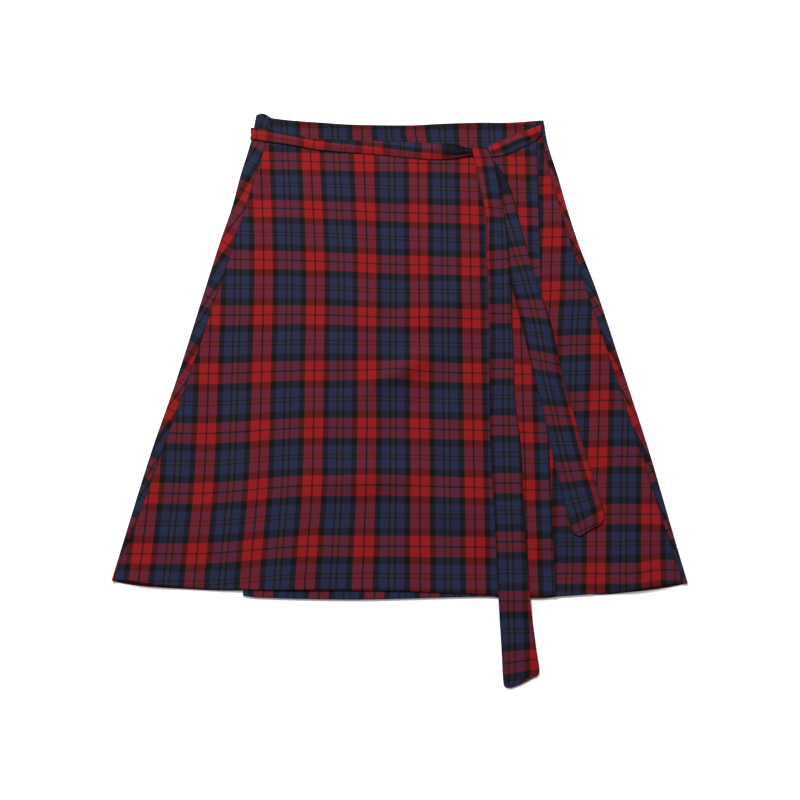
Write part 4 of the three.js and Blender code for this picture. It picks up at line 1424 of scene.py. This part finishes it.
class WRAPSKIRT_OT_ties(bpy.types.Operator):
    """Makes both ties: the stretches across the front, the knot and the two hanging ends"""

    bl_idname = "wrapskirt.ties"
    bl_label = "Ties"

    def execute(self, context):
        cloth, _, twill = cloth_sizes(context)
        wall, half = cloth.tie_wall / MM, cloth.thickness / MM / 2

        def on_skirt(x, y, lift):
            return resting_height(x, y, half) + lift

        def on_short_end(x, y, lift):
            return resting_height(x, y, half) + max(lift, over_short_end(x, y))

        def tie(name, node, stations, stripes, along_start, **form):
            band = tie_band(stations, wall, stripes, along_start, **form)
            return cloth_piece(name, band, wall, twill, node)

        first = LEFT_STRETCH[0]
        outer_z = on_skirt(first["ax"], first["ay"], 0)
        run = [level_station(between(dict(first, **INNER_END), first, share), INNER_LEVEL, DOWN)
               for share in steps(0, 1, 12)[:-1]]
        turn = turn_stations(first, (INNER_LEVEL + outer_z) / 2, (outer_z - INNER_LEVEL) / 2, 0,
                             [-math.pi * (0.5 + share) for share in steps(0, 1, 12)])
        for number, station in enumerate(turn):
            station["notch"] = NOTCH["depth"] * math.sin(math.pi * number / (len(turn) - 1))
        left = tie("left_tie_across", "tie_left_stretch",
                   run + turn + flat_stations(LEFT_STRETCH, on_skirt, 16)[1:],
                   LEFT_STRIPES, -50.4, creases=LEFT_CREASES, tight=LEFT_KNOT_SHADOW)

        right = tie("right_tie_across", "tie_right_stretch", flat_stations(RIGHT_STRETCH, on_skirt, 14),
                    RIGHT_STRIPES, -8.6)

        short = tie("short_tie_end", "tie_short_end", flat_stations(SHORT_END, on_skirt, 14),
                    SHORT_STRIPES, 3.0, tight=SHORT_KNOT_SHADOW, tip=True)

        long = tie("long_tie_end", "tie_long_end", flat_stations(LONG_END, on_short_end, 14),
                   LONG_STRIPES, 1.3, tip=True)

        lower_end, around, upper_end = KNOT
        floor = on_skirt(around["ax"], (around["ay"] + around["by"]) / 2, 0) + around["thick"]
        centre = floor + KNOT_INNER_RADIUS
        lower = [level_station(between(lower_end, around, share), floor, DOWN)
                 for share in steps(0, 1, 6)[:-1]]
        turning = turn_stations(around, centre, KNOT_INNER_RADIUS, 1,
                                [math.pi * (share - 0.5) for share in steps(0, 1, 16)])
        upper = [level_station(between(around, upper_end, share), centre + KNOT_INNER_RADIUS, UP)
                 for share in steps(0, 1, 8)[1:]]
        knot = tie("tie_wrap", "tie_knot", lower + turning + upper, KNOT_STRIPES, -36.5)
        return {"FINISHED"}


class WRAPSKIRT_OT_stitching(bpy.types.Operator):
    """Sews the hems of both fronts and the overwrap's waist edge"""

    bl_idname = "wrapskirt.stitching"
    bl_label = "Stitching"

    def execute(self, context):
        cloth, stitch = context.scene.wrap_skirt_cloth, context.scene.wrap_skirt_stitch
        thread = material_once("sewing_thread", thread_material, context.scene.wrap_skirt_tartan)
        hem = cloth.hem / MM - HEM_STITCH_INSET
        above = cloth.thickness / MM + stitch.thickness / MM / 2 * STITCH_STANDOFF

        def on_overwrap(x, y):
            return overwrap_height(x, y) + above

        def on_underwrap(x, y):
            return underwrap_height(x, y) + above

        def line(curve, offset, start, end):
            return [(x, curve(x) + offset) for x in steps(start, end, 160)]

        stitches_piece("overwrap_hem_stitches", line(overwrap_hem, hem, -329, 181), on_overwrap,
                       stitch, thread)
        stitches_piece("overwrap_waist_stitches", line(front_waist, WAIST_STITCH_OFFSET, -166, 176),
                       on_overwrap, stitch, thread)
        stitches_piece("underwrap_hem_stitches", line(underwrap_hem, hem, -182, 324), on_underwrap,
                       stitch, thread)
        return {"FINISHED"}


# The stage, in metres and radians
FLOOR_REACH = 4
WINDOW_PLACE = (-0.95, 1.9, 2.3)
WINDOW_TURN = (math.radians(-42.7), 0.0, math.radians(26.6))
WINDOW_SIZE = 1.4
VIEW_CENTRE_Y = -0.022


class WRAPSKIRT_OT_stage(bpy.types.Operator):
    """Makes the pale floor, the soft lights and the camera"""

    bl_idname = "wrapskirt.stage"
    bl_label = "Stage"

    def execute(self, context):
        scene, stage = context.scene, context.scene.wrap_skirt_stage

        def placed(name, data, place, turn):
            item = bpy.data.objects.new(name, data)
            item.location, item.rotation_euler = place, turn
            scene.collection.objects.link(item)
            return item

        reach = FLOOR_REACH
        mesh = bpy.data.meshes.new("floor")
        corners = [(-reach, -reach, 0), (reach, -reach, 0), (reach, reach, 0), (-reach, reach, 0)]
        mesh.from_pydata(corners, [], [(0, 1, 2, 3)])
        material, shader, _ = new_material("pale_floor")
        finish_material(shader, {}, {
            "Base Color": (*stage.floor, 1.0), "Roughness": 0.9, "Specular IOR Level": 0.1})
        mesh.materials.append(material)
        placed("floor", mesh, (0.0, 0.0, 0.0), (0.0, 0.0, 0.0))

        world = bpy.data.worlds.new("soft_room")
        world.use_nodes = True
        sky = world.node_tree.nodes["Background"]
        sky.inputs["Color"].default_value = (1.0, 1.0, 1.0, 1.0)
        sky.inputs["Strength"].default_value = stage.sky
        scene.world = world

        lamp = bpy.data.lights.new("window", "AREA")
        lamp.shape, lamp.size, lamp.energy = "DISK", WINDOW_SIZE, stage.key
        window = placed("window", lamp, WINDOW_PLACE, WINDOW_TURN)
        window.visible_camera = False

        camera = bpy.data.cameras.new("camera")
        camera.sensor_width, camera.lens = 36.0, stage.lens
        behind = VIEW_CENTRE_Y - stage.height * math.tan(stage.tilt)
        scene.camera = placed("camera", camera, (0.0, behind, stage.height), (stage.tilt, 0.0, 0.0))
        scene.view_settings.view_transform = "Standard"
        return {"FINISHED"}


OPERATORS = (
    WRAPSKIRT_OT_stage,
    WRAPSKIRT_OT_back_panel,
    WRAPSKIRT_OT_underwrap,
    WRAPSKIRT_OT_overwrap,
    WRAPSKIRT_OT_ties,
    WRAPSKIRT_OT_stitching,
)


class WRAPSKIRT_PT_sidebar(bpy.types.Panel):
    """Sizes, colours and the steps that make the skirt"""

    bl_label = "Wrap Skirt"
    bl_space_type = "VIEW_3D"
    bl_region_type = "UI"
    bl_category = "Wrap Skirt"

    def draw(self, context):
        for group, kind in GROUPS.items():
            for name in kind.__annotations__:
                self.layout.prop(getattr(context.scene, group), name)
        for operator in OPERATORS:
            self.layout.operator(operator.bl_idname)


def register():
    for kind in (*GROUPS.values(), *OPERATORS, WRAPSKIRT_PT_sidebar):
        bpy.utils.register_class(kind)
    for name, kind in GROUPS.items():
        setattr(bpy.types.Scene, name, bpy.props.PointerProperty(type=kind))


def unregister():
    for name in GROUPS:
        delattr(bpy.types.Scene, name)
    for kind in reversed((*GROUPS.values(), *OPERATORS, WRAPSKIRT_PT_sidebar)):
        bpy.utils.unregister_class(kind)


def main():
    register()
    bpy.ops.wrapskirt.stage()
    bpy.ops.wrapskirt.back_panel()
    bpy.ops.wrapskirt.underwrap()
    bpy.ops.wrapskirt.overwrap()
    bpy.ops.wrapskirt.ties()
    bpy.ops.wrapskirt.stitching()


if __name__ == "__main__":
    main()
